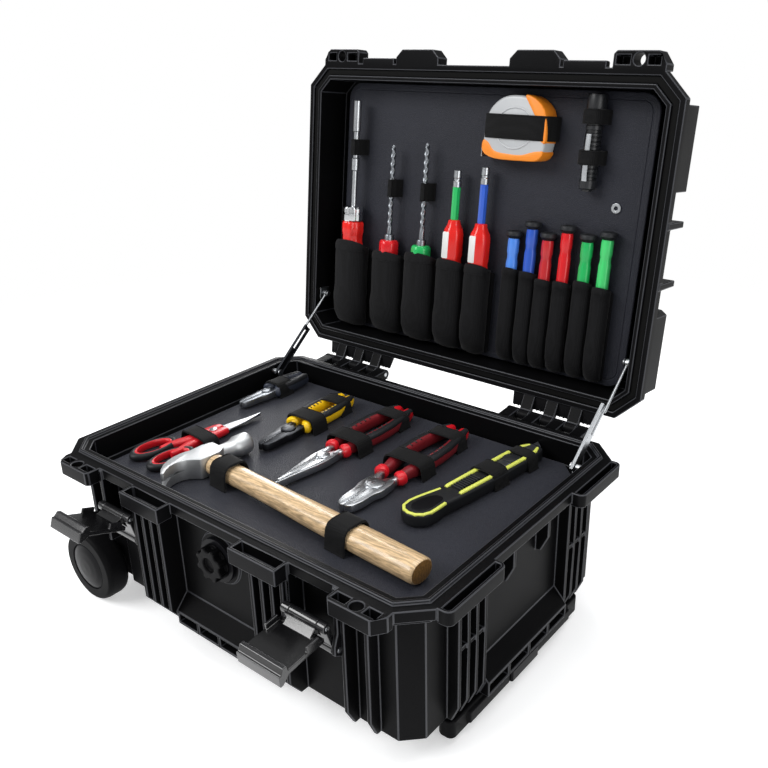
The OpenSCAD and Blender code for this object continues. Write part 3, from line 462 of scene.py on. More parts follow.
def round_edges(piece, width, segments=2, angle=30.0, rim=-1):
    modify(
        piece, "BEVEL", width=width, segments=segments, limit_method="ANGLE",
        angle_limit=math.radians(angle), use_clamp_overlap=False, loop_slide=False, material=rim,
    )


def point_outwards(piece):
    activate(piece)
    bpy.ops.object.mode_set(mode="EDIT")
    bpy.ops.mesh.select_all(action="SELECT")
    bpy.ops.mesh.normals_make_consistent(inside=False)
    bpy.ops.object.mode_set(mode="OBJECT")


def sweep(name, rings, sides=20, power=2.0, up=(0, 0, 1)):
    """A closed body through rings of (x, y, z, half width, half height, turn), in millimetres."""
    clear_selection()
    bpy.ops.mesh.primitive_circle_add(vertices=sides, radius=1, fill_type="NGON")
    piece = bpy.context.object
    piece.name = name
    bpy.ops.object.mode_set(mode="EDIT")
    bpy.ops.mesh.select_all(action="SELECT")
    for _ in rings[1:]:
        bpy.ops.mesh.extrude_region_move(TRANSFORM_OT_translate={"value": (0, 0, 1)})
    bpy.ops.object.mode_set(mode="OBJECT")
    centres = [Vector(r[:3]) for r in rings]
    last = len(rings) - 1
    for vertex in piece.data.vertices:
        i = min(last, max(0, round(vertex.co.z)))
        along = (centres[min(i + 1, last)] - centres[max(i - 1, 0)]).normalized()
        side = along.cross(Vector(up)).normalized()
        rise = side.cross(along)
        angle = math.atan2(vertex.co.y, vertex.co.x)
        u = math.copysign(abs(math.cos(angle)) ** (2 / power), math.cos(angle)) * rings[i][3]
        v = math.copysign(abs(math.sin(angle)) ** (2 / power), math.sin(angle)) * rings[i][4]
        turn = math.radians(rings[i][5]) if len(rings[i]) > 5 else 0.0
        u, v = u * math.cos(turn) - v * math.sin(turn), u * math.sin(turn) + v * math.cos(turn)
        vertex.co = (centres[i] + side * u + rise * v) * MM
    point_outwards(piece)
    return piece


def slab(name, outline, low, high, edge=0.8, segments=2):
    """A plate with the given outline and rounded rims, in millimetres."""
    clear_selection()
    bpy.ops.mesh.primitive_circle_add(vertices=len(outline), radius=1, fill_type="NGON")
    piece = bpy.context.object
    piece.name = name
    for vertex, (x, y) in zip(piece.data.vertices, outline):
        vertex.co = Vector((x, y, low)) * MM
    bpy.ops.object.mode_set(mode="EDIT")
    bpy.ops.mesh.select_all(action="SELECT")
    bpy.ops.mesh.extrude_region_move(TRANSFORM_OT_translate={"value": (0, 0, (high - low) * MM)})
    bpy.ops.object.mode_set(mode="OBJECT")
    point_outwards(piece)
    if edge:
        round_edges(piece, edge * MM, segments, 25)
    return piece


def smooth_outline(points, steps=4):
    """The points with more between them, on a smooth closed line."""
    line = []
    count = len(points)
    for i in range(count):
        p0, p1, p2, p3 = (Vector(points[(i + k - 1) % count]) for k in range(4))
        for step in range(steps):
            t = step / steps
            line.append(tuple(
                0.5 * ((2 * p1) + (p2 - p0) * t + (2 * p0 - 5 * p1 + 4 * p2 - p3) * t * t
                       + (3 * p1 - p0 - 3 * p2 + p3) * t ** 3)
            ))
    return line


def corner_outline(x0, x1, y0, y1, radius, steps=6):
    """A rectangle with round corners."""
    line = []
    for cx, cy, start in ((x1 - radius, y1 - radius, 0), (x0 + radius, y1 - radius, 90),
                          (x0 + radius, y0 + radius, 180), (x1 - radius, y0 + radius, 270)):
        for step in range(steps + 1):
            a = math.radians(start + 90 * step / steps)
            line.append((cx + radius * math.cos(a), cy + radius * math.sin(a)))
    return line


def joined(name, pieces):
    clear_selection()
    for piece in pieces:
        piece.select_set(True)
    bpy.context.view_layer.objects.active = pieces[0]
    if len(pieces) > 1:
        bpy.ops.object.join()
    pieces[0].name = name
    return pieces[0]


def place(piece, matrix):
    piece.data.transform(matrix)
    return piece


def dress(piece, material, node, angle=35.0):
    """Gives a piece its finish, and it stands for its node and rides with it."""
    activate(piece)
    if material:
        piece.data.materials.clear()
        piece.data.materials.append(finish(material))
    bpy.ops.object.shade_smooth_by_angle(angle=math.radians(angle))
    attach(piece, BODY_OF[node])
    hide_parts(node)
    return piece


def rounded_copy(node, material, edge, segments=2, angle=30.0, edge_highlight=None):
    """The node's own shape with its moulded edges rounded, and its bevels in a second, paler finish when
    one is given, a painted edge highlight.
    """
    source = NODES[node]
    piece = source.copy()
    piece.data = source.data.copy()
    bpy.context.scene.collection.objects.link(piece)
    piece.parent = None
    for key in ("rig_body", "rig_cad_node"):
        if key in piece:
            del piece[key]
    piece.name = node + "_moulded"
    activate(piece)
    bpy.ops.object.mode_set(mode="EDIT")
    bpy.ops.mesh.select_all(action="SELECT")
    bpy.ops.mesh.remove_doubles(threshold=0.00001)
    bpy.ops.object.mode_set(mode="OBJECT")
    piece.data.materials.clear()
    piece.data.materials.append(finish(material))
    # The bevels take the paler finish, a painted edge highlight.
    if edge_highlight:
        piece.data.materials.append(finish(edge_highlight))
    if edge:
        round_edges(piece, edge, segments, angle, 1 if edge_highlight else -1)
    dress(piece, None, node)
    modify(piece, "WEIGHTED_NORMAL", keep_sharp=True)
    return piece


class ToolCaseOperator:
    bl_options = {"REGISTER", "UNDO"}


class TOOLCASE_OT_add_shells(ToolCaseOperator, bpy.types.Operator):
    """Adds the base and the lid, with their seal and feet"""

    bl_idname = "tool_case.add_shells"
    bl_label = "Add Shells"

    def execute(self, context):
        sizes = settings().sizes
        # The shells' bevels get the paler polypropylene, a painted edge highlight.
        rounded_copy("base_shell", "moulded polypropylene", sizes.edge, edge_highlight="polypropylene with painted edge highlight")
        rounded_copy("lid_shell", "moulded polypropylene", sizes.edge, edge_highlight="polypropylene with painted edge highlight")
        rounded_copy("lid_gasket", "moulded rubber", sizes.fine_edge)
        rounded_copy("base_feet", "moulded rubber", sizes.edge)
        return {"FINISHED"}


class TOOLCASE_OT_add_running_gear(ToolCaseOperator, bpy.types.Operator):
    """Adds the wheels, the telescopic tubes and the pull handle"""

    bl_idname = "tool_case.add_running_gear"
    bl_label = "Add Wheels and Pull Handle"

    def execute(self, context):
        sizes = settings().sizes
        rounded_copy("rail_cover", "moulded polypropylene", sizes.edge)
        for node in ("rail_outer_tubes", "rail_middle_tubes", "rail_inner_tubes"):
            rounded_copy(node, "anodised aluminium", 0.15 * MM)
        rounded_copy("pull_grip", "moulded polypropylene", 1.6 * MM, 3)
        rounded_copy("pull_button", "polished ABS", 0.8 * MM, 3)
        for end in ("front", "rear"):
            rounded_copy("wheel_tyre_" + end, "polyurethane tyre", 0.8 * MM, 3)
            rounded_copy("wheel_hub_" + end, "polished ABS", sizes.fine_edge)
        rounded_copy("wheel_axles", "zinc plated steel", sizes.fine_edge)
        return {"FINISHED"}


class TOOLCASE_OT_add_latches(ToolCaseOperator, bpy.types.Operator):
    """Adds the two latches with their links, levers and pins"""

    bl_idname = "tool_case.add_latches"
    bl_label = "Add Latches"

    def execute(self, context):
        for side in ("left", "right"):
            rounded_copy("latch_lever_" + side, "glass filled nylon", 0.7 * MM, 3)
            rounded_copy("latch_link_" + side, "glass filled nylon", 0.6 * MM)
            rounded_copy("latch_knee_pin_" + side, "zinc plated steel", 0.3 * MM)
        rounded_copy("latch_foot_pins", "zinc plated steel", 0.3 * MM)
        return {"FINISHED"}


class TOOLCASE_OT_add_hinges_and_stays(ToolCaseOperator, bpy.types.Operator):
    """Adds the hinge pins and the two lid stays"""

    bl_idname = "tool_case.add_hinges_and_stays"
    bl_label = "Add Hinges and Stays"

    def execute(self, context):
        rounded_copy("hinge_pins", "zinc plated steel", 0.4 * MM)
        rounded_copy("stay_pegs", "zinc plated steel", 0.3 * MM)
        rounded_copy("stay_channel_left", "blackened steel", 0.3 * MM)
        rounded_copy("stay_channel_right", "zinc plated steel", 0.3 * MM)
        for side in ("left", "right"):
            rounded_copy("stay_wire_" + side, "zinc plated steel", 0.3 * MM)
        rounded_copy("stay_brackets", "zinc plated steel", 0.3 * MM)
        for side in (-1, 1):
            self.hinge_web(side)
        return {"FINISHED"}

    def hinge_web(self, side):
        """The lid's solid wedge between its hinge arms, clear of the base's knuckles, with fine teeth."""
        # The sections are in Y and Z of the closed lid.
        wedge = [(162.5, 165.0), (162.5, 173.5), (168, 171.2), (178.2, 165.0)]
        turned = Matrix(((0, 0, 1, 0), (1, 0, 0, 0), (0, 1, 0, 0), (0, 0, 0, 1)))
        middle, half = side * HINGE_X, HINGE_WEB_HALF
        pieces = [place(slab("web", wedge, middle - half, middle + half, 0.6, 2), turned)]
        for i in range(TOOTH_COUNT):
            x = middle - half + 2.5 + i * TOOTH_PITCH
            tooth = [(164, 165.4), (163.6, 174.2), (168.6, 171.9), (178.9, 165.3), (176, 164.6)]
            pieces.append(place(slab("tooth", tooth, x - TOOTH_HALF, x + TOOTH_HALF, 0.3, 1), turned))
        web = joined("hinge_web_" + ("left" if side < 0 else "right"), pieces)
        dress(place(web, LID), "moulded polypropylene", "lid_shell", 30)


class TOOLCASE_OT_add_valve(ToolCaseOperator, bpy.types.Operator):
    """Adds the pressure valve and its star knob"""

    bl_idname = "tool_case.add_valve"
    bl_label = "Add Pressure Valve"

    def execute(self, context):
        sizes = settings().sizes
        rounded_copy("valve_body", "polished ABS", sizes.fine_edge)
        rounded_copy("valve_knob", "moulded polypropylene", 1.2 * MM, 3)
        return {"FINISHED"}


class TOOLCASE_OT_add_boards(ToolCaseOperator, bpy.types.Operator):
    """Adds the lid board, its snap and the pallet"""

    bl_idname = "tool_case.add_boards"
    bl_label = "Add Board and Pallet"

    def execute(self, context):
        board = slab(
            "lid_board_covered", corner_outline(-191, 191, -144, 143, 18, 10), BOARD_Z, BOARD_Z + 3,
            1.2, 3,
        )
        self.sew(board, -1)
        dress(place(board, LID), "leatherette", "lid_board")
        rounded_copy("pallet", "leatherette", 1.0 * MM, 3)
        rounded_copy("board_snap", "zinc plated steel", 0.5 * MM, 3)
        return {"FINISHED"}

    def sew(self, piece, facing):
        """Presses a seam into the covered face, inside its edge."""
        activate(piece)
        bpy.ops.object.mode_set(mode="EDIT")
        mesh = bmesh.from_edit_mesh(piece.data)
        broad = max(mesh.faces, key=lambda f: f.calc_area() if f.normal.z * facing > 0.9 else 0)
        for face in mesh.faces:
            face.select_set(False)
        broad.select_set(True)
        bmesh.update_edit_mesh(piece.data)
        bpy.ops.mesh.inset(thickness=5 * MM, depth=0)
        bpy.ops.mesh.inset(thickness=0.6 * MM, depth=-0.5 * MM)
        bpy.ops.mesh.inset(thickness=0.6 * MM, depth=0)
        bpy.ops.mesh.inset(thickness=0.6 * MM, depth=0.5 * MM)
        bpy.ops.object.mode_set(mode="OBJECT")


# Each pocket's middle, width, depth and mouth
WIDE_POCKETS = ((-165, 46, 30, 42), (-110, 44, 26, 47), (-63, 42, 26, 42), (-20, 36, 26, 43),
                (15, 30, 26, 43))
NARROW_POCKETS = (
    (55, 19, 19, 39), (76, 19, 19, 40), (95, 19, 19, 45), (116, 19, 19, 44), (139, 19, 19, 40),
    (160, 19, 19, 43),
)
POCKET_FOOT = 139


class TOOLCASE_OT_add_pockets(ToolCaseOperator, bpy.types.Operator):
    """Adds the sewn nylon pockets on the lid board"""

    bl_idname = "tool_case.add_pockets"
    bl_label = "Add Pockets"

    def execute(self, context):
        for node, pockets in (("pockets_wide", WIDE_POCKETS), ("pockets_narrow", NARROW_POCKETS)):
            pieces = [self.backing(pockets)]
            for x, width, deep, mouth in pockets:
                pieces.append(self.pocket(x, width, deep, mouth))
            piece = joined(node + "_sewn", pieces)
            dress(place(piece, LID), "woven nylon", node, 50)
        return {"FINISHED"}

    def backing(self, pockets):
        """The strip of cloth behind a row of pockets, with its bound edge."""
        x0 = pockets[0][0] - pockets[0][1] / 2
        x1 = pockets[-1][0] + pockets[-1][1] / 2
        mouth = max(p[3] for p in pockets)
        return slab("pocket_backing", corner_outline(x0, x1, mouth + 1, POCKET_FOOT, 2, 3),
                    BOARD_Z - 1.3, BOARD_Z - 0.1, 0.4, 2)

    def pocket(self, x, width, deep, mouth):
        """One pleat of cloth, pinched at its foot and bound at its mouth."""
        half, foot = width / 2, POCKET_FOOT
        rings = []
        for y, share, thick in (
            (foot, 0.72, 0.22), (foot - 1.5, 0.84, 0.4), (foot - 6, 0.93, 0.7), (foot - 16, 0.98, 0.93),
            (foot - 34, 1.0, 1.0), ((foot + mouth) / 2, 0.96, 0.97), (mouth + 14, 0.97, 0.98),
            (mouth + 5.4, 0.965, 0.98), (mouth + 4.8, 0.99, 1.0), (mouth + 0.8, 0.99, 1.0),
            (mouth, 0.96, 0.97),
        ):
            b = (deep / 2 - 0.2) * thick
            rings.append((x, y, BOARD_Z - b - 0.2, half * share, b))
        tube = sweep("pocket", rings, 28, 2.3)
        for vertex in tube.data.vertices:
            y = vertex.co.y / MM
            crease = math.sin(y * 0.21 + x) * math.sin(vertex.co.x / MM * 0.55 + y * 0.07)
            if mouth + 8 < y < foot - 4:
                vertex.co.z += 0.45 * MM * crease * min(1, (BOARD_Z - 2 - vertex.co.z / MM) / 8)
        activate(tube)
        bpy.ops.object.mode_set(mode="EDIT")
        mesh = bmesh.from_edit_mesh(tube.data)
        for face in mesh.faces:
            face.select_set(len(face.verts) > 4 and face.calc_center_median().y < (mouth + 1) * MM)
        bmesh.update_edit_mesh(tube.data)
        bpy.ops.mesh.inset(thickness=1.2 * MM, depth=0)
        bpy.ops.mesh.extrude_region_move(TRANSFORM_OT_translate={"value": (0, 14 * MM, 0)})
        bpy.ops.object.mode_set(mode="OBJECT")
        return tube


def strap(name, width, height, depth):
    """An elastic band over something this wide and high, sewn through at its feet."""
    half = width / 2
    rise = height - 0.8
    path = [(-half - 1.2, 0.2), (-half - 0.3, 1.6), (-half + 0.2, rise * 0.3),
            (-half + 0.7, rise * 0.55), (-half + 2.0, rise * 0.8), (-half + 4.6, rise * 0.95),
            (-half * 0.4, rise)]
    path += [(0, rise)] + [(-x, z) for x, z in reversed(path)]
    rings = [(x, 0, z, 0.75, depth / 2) for x, z in path]
    band = sweep(name, rings, 12, 7.0, up=(0, 1, 0))
    seams = []
    for s in (-1, 1):
        rib = [(x, s * (depth / 2 - 1.1), z + 0.75, 0.5, 0.35) for x, z in path[3:-3]]
        seams.append(sweep("seam", rib, 8, up=(0, 1, 0)))
    return joined(name, [band] + seams)


class TOOLCASE_OT_add_bands(ToolCaseOperator, bpy.types.Operator):
    """Adds the elastic bands that hold the tools"""

    bl_idname = "tool_case.add_bands"
    bl_label = "Add Bands"

    def execute(self, context):
        # Each band's middle, then its width, height, depth and turn
        on_pallet = (
            (-60, -82.6, 29.5, 24.6, 24, 86), (100, -93.8, 31, 24.8, 24, 86),
            (-151, -44, 44, 11.6, 18, -5), (-176, 96, 26, 17.2, 22, -2), (-84, 48, 40, 17.4, 22, 0),
            (-14, 38, 44, 17.4, 22, 0), (63, 38, 48, 17.4, 22, 0), (137, 66, 31, 17.6, 22, -7),
            (-88, 97, 33.5, 16.6, 19, 3), (-14, 106, 36.5, 16.6, 19, 0), (61, 102, 40, 16.6, 19, 1),
            (144, 112, 30, 16.6, 15, -7),
        )
        bands = []
        for x, y, width, height, depth, turn in on_pallet:
            spot = Matrix.Translation((x * MM, y * MM, PALLET_Z * MM))
            band = strap("band", width, height, depth)
            bands.append(place(band, spot @ Matrix.Rotation(math.radians(turn), 4, "Z")))
        dress(joined("pallet_bands_sewn", bands), "knitted elastic", "pallet_bands", 50)
        # The same for the lid board, where none is turned
        on_board = (
            (-165, -72, 12, 21.2, 18), (-110, -30, 9.5, 18.2, 20), (-63, -30, 9.5, 18.2, 20),
            (51, -106, 76, 26, 24), (131, -120, 22, 21.5, 14), (131, -82, 22, 21.5, 14),
        )
        bands = []
        for x, y, width, height, depth in on_board:
            spot = Matrix.Translation((x * MM, y * MM, BOARD_Z * MM))
            band = strap("band", width, height, depth)
            bands.append(place(band, LID @ spot @ Matrix.Rotation(math.pi, 4, "Y")))
        dress(joined("board_bands_sewn", bands), "knitted elastic", "board_bands", 50)
        return {"FINISHED"}


def on_pallet(x, y, turn, z=TOOL_Z):
    """Where a tool that is drawn at the origin lies on the pallet."""
    return Matrix.Translation((x * MM, y * MM, z * MM)) @ Matrix.Rotation(math.radians(turn), 4, "Z")


class TOOLCASE_OT_add_hammer(ToolCaseOperator, bpy.types.Operator):
    """Adds the claw hammer"""

    bl_idname = "tool_case.add_hammer"
    bl_label = "Add Claw Hammer"

    def execute(self, context):
        spot = on_pallet(-97, -80, -4, 152.8)
        shaft = [(14.5, 11, 9.6), (20, 11.5, 10), (40, 11, 9.6), (70, 10.6, 9.4), (110, 11, 9.8),
                 (150, 12.2, 10.4), (190, 13.2, 10.7), (225, 13.6, 10.9), (262, 13.4, 10.8),
                 (275, 13.3, 10.7), (278.4, 13.0, 10.5), (279.7, 12.0, 9.6)]
        handle = sweep("hammer_handle_turned", [(x, 0, 0, a, b) for x, a, b in shaft], 48, 2.2)
        dress(place(handle, spot), "varnished ash", "tool_hammer_handle", 40)
        butt = sweep("hammer_handle_end", [(279.2, 0, 0, 11.6, 9.2), (279.9, 0, 0, 11.6, 9.2),
                                           (280, 0, 0, 11, 8.7)], 32, 2.2)
        dress(place(butt, spot), "end grain", "tool_hammer_handle", 40)

        cheek = [(-11.5, -10), (-12.8, -14), (-13.4, -21), (-12.6, -29), (-10.2, -37), (-6.0, -44.5),
                 (0.0, -51), (7.0, -56), (8.8, -53.2), (4.4, -47.6), (1.4, -42), (0, -35.5),
                 (0.6, -29), (3.2, -23.5), (7.8, -18.8), (12.4, -15), (13.6, -8), (13.6, 8),
                 (10.4, 13), (9.2, 15.5), (-9.2, 15.5), (-10.6, 12), (-12.6, 4)]
        eye = slab("hammer_cheek", cheek, -10.8, 10.8, 0.9, 2)
        neck = sweep("hammer_neck", [
            (0, 13, 0, 9.4, 9.2), (0, 20, 0, 8.4, 8.4), (0, 31, 0, 8.6, 8.6), (0, 34, 0, 9.6, 9.6),
            (0, 37, 0, 11, 11), (0, 49, 0, 11, 11), (0, 51, 0, 10.4, 10.4), (0, 52, 0, 9.4, 9.4),
        ], 24, 2.0)
        wedge = slab("hammer_slot", [(-30, -7), (-30, -8), (30, -8), (30, -7)], -0.2, 0.2, 0)
        for vertex in wedge.data.vertices:
            x, y, z = vertex.co
            far = y < -7.5 * MM
            vertex.co = (x, (-60 if far else -27) * MM, math.copysign(3.2 if far else 0.15, z) * MM)
        point_outwards(wedge)
        modify(eye, "BOOLEAN", operation="DIFFERENCE", object=wedge, solver="EXACT")
        bpy.data.objects.remove(wedge)
        head = joined("hammer_head_forged", [eye, neck])
        dress(place(head, spot), "forged steel", "tool_hammer_head", 40)
        return {"FINISHED"}


class TOOLCASE_OT_add_scissors(ToolCaseOperator, bpy.types.Operator):
    """Adds the scissors"""

    bl_idname = "tool_case.add_scissors"
    bl_label = "Add Scissors"

    def execute(self, context):
        spot = on_pallet(-151, -46, -5)
        blades = []
        for s in (-1, 1):
            outline = smooth_outline([(-s * 0.4, 83), (s * 4.6, 66), (s * 7.6, 46), (s * 8.6, 26),
                                      (s * 7, -6), (s * 8, -18), (s * 3, -20), (-s * 4, -4),
                                      (-s * 3, 6), (-s * 0.6, 40)], 3)
            low = 2.2 if s < 0 else 4.3
            blades.append(slab("blade", outline, low, low + 1.9, 0.5, 1))
        screw = sweep("screw", [(0, 19, 6.1, 4.2, 4.2), (0, 19, 9.0, 4.2, 4.2),
                                (0, 19, 9.5, 3.2, 3.2)], 20,
                      up=(0, 1, 0))
        steel = joined("scissors_blades", blades + [screw])
        dress(place(steel, spot), "polished tool steel", "tool_scissors", 30)
        loops, reds = [], []
        for s in (-1, 1):
            clear_selection()
            bpy.ops.mesh.primitive_torus_add(
                major_radius=18.4 * MM, minor_radius=3.5 * MM, major_segments=40, minor_segments=14
            )
            loop = bpy.context.object
            for vertex in loop.data.vertices:
                x, y, z = vertex.co
                vertex.co = (x * 0.66 + s * 16.2 * MM, y * 1.26 - 44 * MM, z * 1.15 + 4.3 * MM)
            loops.append(loop)
            reds.append(sweep("stem", [
                (s * 9.5, -40, 4.4, 2.2, 3.4), (s * 9.2, -30, 4.4, 3.6, 3.9),
                (s * 7.4, -21, 4.4, 4.8, 4.1), (s * 5.2, -12, 4.4, 5.4, 4.2),
                (s * 4.6, 0, 4.6, 5.4, 4.0), (s * 5.0, 12, 4.6, 6.4, 4.0),
                (s * 4.8, 26, 4.6, 6.2, 3.9), (s * 4.6, 32, 4.6, 4.8, 3.4),
                (s * 4.6, 33.5, 4.6, 3.4, 2.4)], 16, 3.2))
        grips = joined("scissors_grips", loops)
        dress(place(grips, spot), "black soft grip", "tool_scissors", 60)
        for s in (-1, 1):
            clear_selection()
            bpy.ops.mesh.primitive_torus_add(
                major_radius=16.0 * MM, minor_radius=1.9 * MM, major_segments=40, minor_segments=10
            )
            pad = bpy.context.object
            for vertex in pad.data.vertices:
                x, y, z = vertex.co
                vertex.co = (x * 0.68 + s * 16.2 * MM, y * 1.24 - 44 * MM, z * 2.0 + 4.3 * MM)
            reds.append(pad)
        dress(place(joined("scissors_pads", reds), spot), "red dipped vinyl", "tool_scissors", 60)
        return {"FINISHED"}


def plier_handle(s, width, span, spread, height):
    """One grip, from the joint to its end, as rings."""
    stations = ((0.13, width * 0.34, 3.8, 3.6), (0.2, width * 0.42, 4.8, 5.0),
                (0.26, spread * 0.62, 5.6, 6.2), (0.36, spread * 0.92, 6.0, 6.8),
                (0.5, spread * 1.04, 6.0, 7.0), (0.66, spread * 1.02, 5.9, 7.0),
                (0.8, spread * 0.86, 5.8, 6.9), (0.92, spread * 0.62, 5.6, 6.6),
                (0.975, spread * 0.5, 4.8, 5.6), (1.0, spread * 0.44, 3.0, 3.6))
    return [(s * x, share * span, height, a, b) for share, x, a, b in stations]


class TOOLCASE_OT_add_pliers(ToolCaseOperator, bpy.types.Operator):
    """Adds the four pairs of pliers"""

    bl_idname = "tool_case.add_pliers"
    bl_label = "Add Pliers"

    def execute(self, context):
        self.pair("tool_dark_pliers", (-176, 76, -2), 38, 16, 60, 7, "navy grip", "black soft grip",
                  "ground tool steel")
        self.pair("tool_yellow_pliers", (-84, 20, 3), 40, 22, 100, 12, "yellow vinyl",
                  "black soft grip", "blackened steel")
        self.pair("tool_long_nose_pliers", (-14, -2, 0), 64, 20, 134, 14, "red dipped vinyl",
                  "black soft grip", "polished tool steel", "dark red vinyl")
        self.pair("tool_combination_pliers", (63, -14, 1), 44, 26, 142, 16, "red dipped vinyl",
                  "black soft grip", "polished tool steel", "dark red vinyl")
        return {"FINISHED"}

    def pair(self, node, where, nose, width, span, spread, grip, inlay, steel, body_grip=None):
        spot = on_pallet(*where)
        jaws = []
        tip = 0.13 if nose > 60 else 0.3
        for s in (-1, 1):
            outline = smooth_outline([
                (s * 0.25, -nose), (s * width * tip, -nose + 1.5),
                (s * width * (tip + 0.13), -nose * 0.7), (s * width * 0.46, -nose * 0.34),
                (s * width * 0.56, -6), (s * width * 0.54, 6), (s * width * 0.48, 15),
                (s * width * 0.2, 17), (s * 0.3, 8), (s * 0.25, -nose * 0.4),
            ], 3)
            jaws.append(slab("jaw", outline, 1.4 if s < 0 else 2.0, 9.2 if s < 0 else 9.8, 1.3, 2))
        bolt = sweep("bolt", [(0, 0, 9, width * 0.36, width * 0.36),
                              (0, 0, 10.6, width * 0.36, width * 0.36),
                              (0, 0, 11.2, width * 0.3, width * 0.3),
                              (0, 0, 11.0, width * 0.14, width * 0.14)],
                     28, up=(0, 1, 0))
        teeth = []
        for i in range(7):
            y = -nose + 4 + i * 2.4
            teeth.append(slab("tooth", [(-1.3, y), (1.3, y), (1.3, y + 1.1), (-1.3, y + 1.1)], 8.6,
                              10.1, 0))
        shanks = [sweep("shank", [(s * width * 0.2, 4, 5.6, 4, 3.8),
                                  (s * width * 0.34, 0.13 * span, 6.2, 4, 4),
                                  (s * width * 0.42, 0.21 * span, 6.8, 3.6, 3.6)], 16,
                        3.0) for s in (-1, 1)]
        metal = joined(node[5:] + "_jaws", jaws + [bolt] + teeth + shanks)
        dress(place(metal, spot), steel, node, 35)
        grips, ends = [], []
        for s in (-1, 1):
            body = sweep("grip", plier_handle(s, width, span, spread, 7.4), 20, 2.7)
            modify(body, "SUBSURF", levels=1, render_levels=1)
            grips.append(body)
            guard = sweep("guard", [(s * width * 0.36, 0.15 * span, 7.2, 6.0, 5.6),
                                    (s * width * 0.42, 0.17 * span, 7.3, 7.2, 6.8),
                                    (s * width * 0.46, 0.2 * span, 7.4, 6.4, 6.4)], 20, 2.4)
            ends.append(guard)
            tail = plier_handle(s, width, span, spread, 7.4)[7:]
            ends.append(sweep("end", [(x, y, z, a + 0.25, b + 0.25) for x, y, z, a, b in tail], 20,
                              2.7))
        dress(place(joined(node[5:] + "_grips", grips), spot), body_grip or grip, node, 60)
        dress(place(joined(node[5:] + "_guards", ends), spot), grip, node, 60)
        inlays = []
        for s in (-1, 1):
            rings = []
            for x, y, z, a, b in plier_handle(s, width, span, spread, 7.4)[3:9]:
                rings.append((x + s * 1.4, y, z + b * 0.62, a * 0.72, b * 0.46))
            inlays.append(sweep("inlay", rings, 16, 2.2))
            for i in range(5):
                y = span * (0.42 + i * 0.055)
                rib = [(s * spread * 1.03 - 3.4, y, 14.1, 0.7, 0.75),
                       (s * spread * 1.03 + 4.4, y, 13.9, 0.7, 0.75)]
                inlays.append(sweep("rib", rib, 8, 2.2))
        dress(place(joined(node[5:] + "_inlays", inlays), spot), inlay, node, 50)


class TOOLCASE_OT_add_knife(ToolCaseOperator, bpy.types.Operator):
    """Adds the snap-off cutter"""

    bl_idname = "tool_case.add_knife"
    bl_label = "Add Cutter"

    def execute(self, context):
        node = "tool_knife"
        spot = on_pallet(137, 54, -7)
        body = smooth_outline([(-15, -92), (-4, -97), (7, -93), (13, -82), (11, -62), (12.5, -40),
                               (13.5, -8), (13.5, 50), (11, 74), (7, 83), (-6, 83), (-12, 72),
                               (-13.5, 50), (-12, -10), (-14, -45), (-17.5, -68), (-18.5, -82)], 3)
        case = slab("cutter_case", body, 0.4, 13.6, 3.0, 4)
        pieces = [case]
        for i in range(9):
            y = -36 + i * 3.3
            pieces.append(sweep("ridge", [(-5.4, y, 14.6, 0.9, 1.3), (5.4, y, 14.6, 0.9, 1.3)], 8))
        pieces.append(sweep("wheel", [(0, 42, 12, 8, 8), (0, 42, 14.6, 8, 8), (0, 42, 15.2, 7, 7)], 16,
                            up=(0, 1, 0)))
        dress(place(joined("cutter_body", pieces), spot), "black soft grip", node, 40)
        trim = []
        for s in (-1, 1):
            rail = [(s * 8.6, -41, 13.5, 1.6, 1.2), (s * 8.6, -38, 13.9, 2.2, 1.6),
                    (s * 9.2, -8, 13.9, 2.2, 1.6), (s * 9.4, 50, 13.9, 2.2, 1.6),
                    (s * 8.0, 70, 13.5, 2.0, 1.4), (s * 4.8, 78, 13.2, 1.6, 1.2)]
            trim.append(sweep("rail", rail, 10, 2.4))
        loop = [(-10.6, -46), (-13.0, -58), (-15.2, -70), (-16.2, -80), (-14.4, -88.6),
                (-9.6, -93.2), (-3.4, -94.6), (3.4, -93), (8.4, -88.4), (11.0, -81), (10.4, -71),
                (9.4, -61)]
        trim.append(sweep("loop", [(x, y, 12.7, 1.7, 1.5) for x, y in loop], 10, 2.4))
        dress(place(joined("cutter_trim", trim), spot), "lime vinyl", node, 50)
        well = slab("cutter_pad", smooth_outline([(-3, -89), (-10.6, -83), (-10.4, -70), (-5, -58),
                                                  (3, -57), (6, -68), (5.4, -83)], 4), 12.6, 14.4,
                    0.8, 3)
        dress(place(well, spot), "polished ABS", node, 40)
        blade = slab("cutter_blade", [(-4.4, 70), (4.4, 70), (4.4, 84), (-4.4, 91)], 12.0, 12.6,
                     0.15, 1)
        channel = slab("cutter_channel", corner_outline(-5.4, 5.4, 26, 80, 1.5, 3), 12.8, 13.9, 0.3, 1)
        dress(place(joined("cutter_steel", [blade, channel]), spot), "ground tool steel", node, 35)
        return {"FINISHED"}


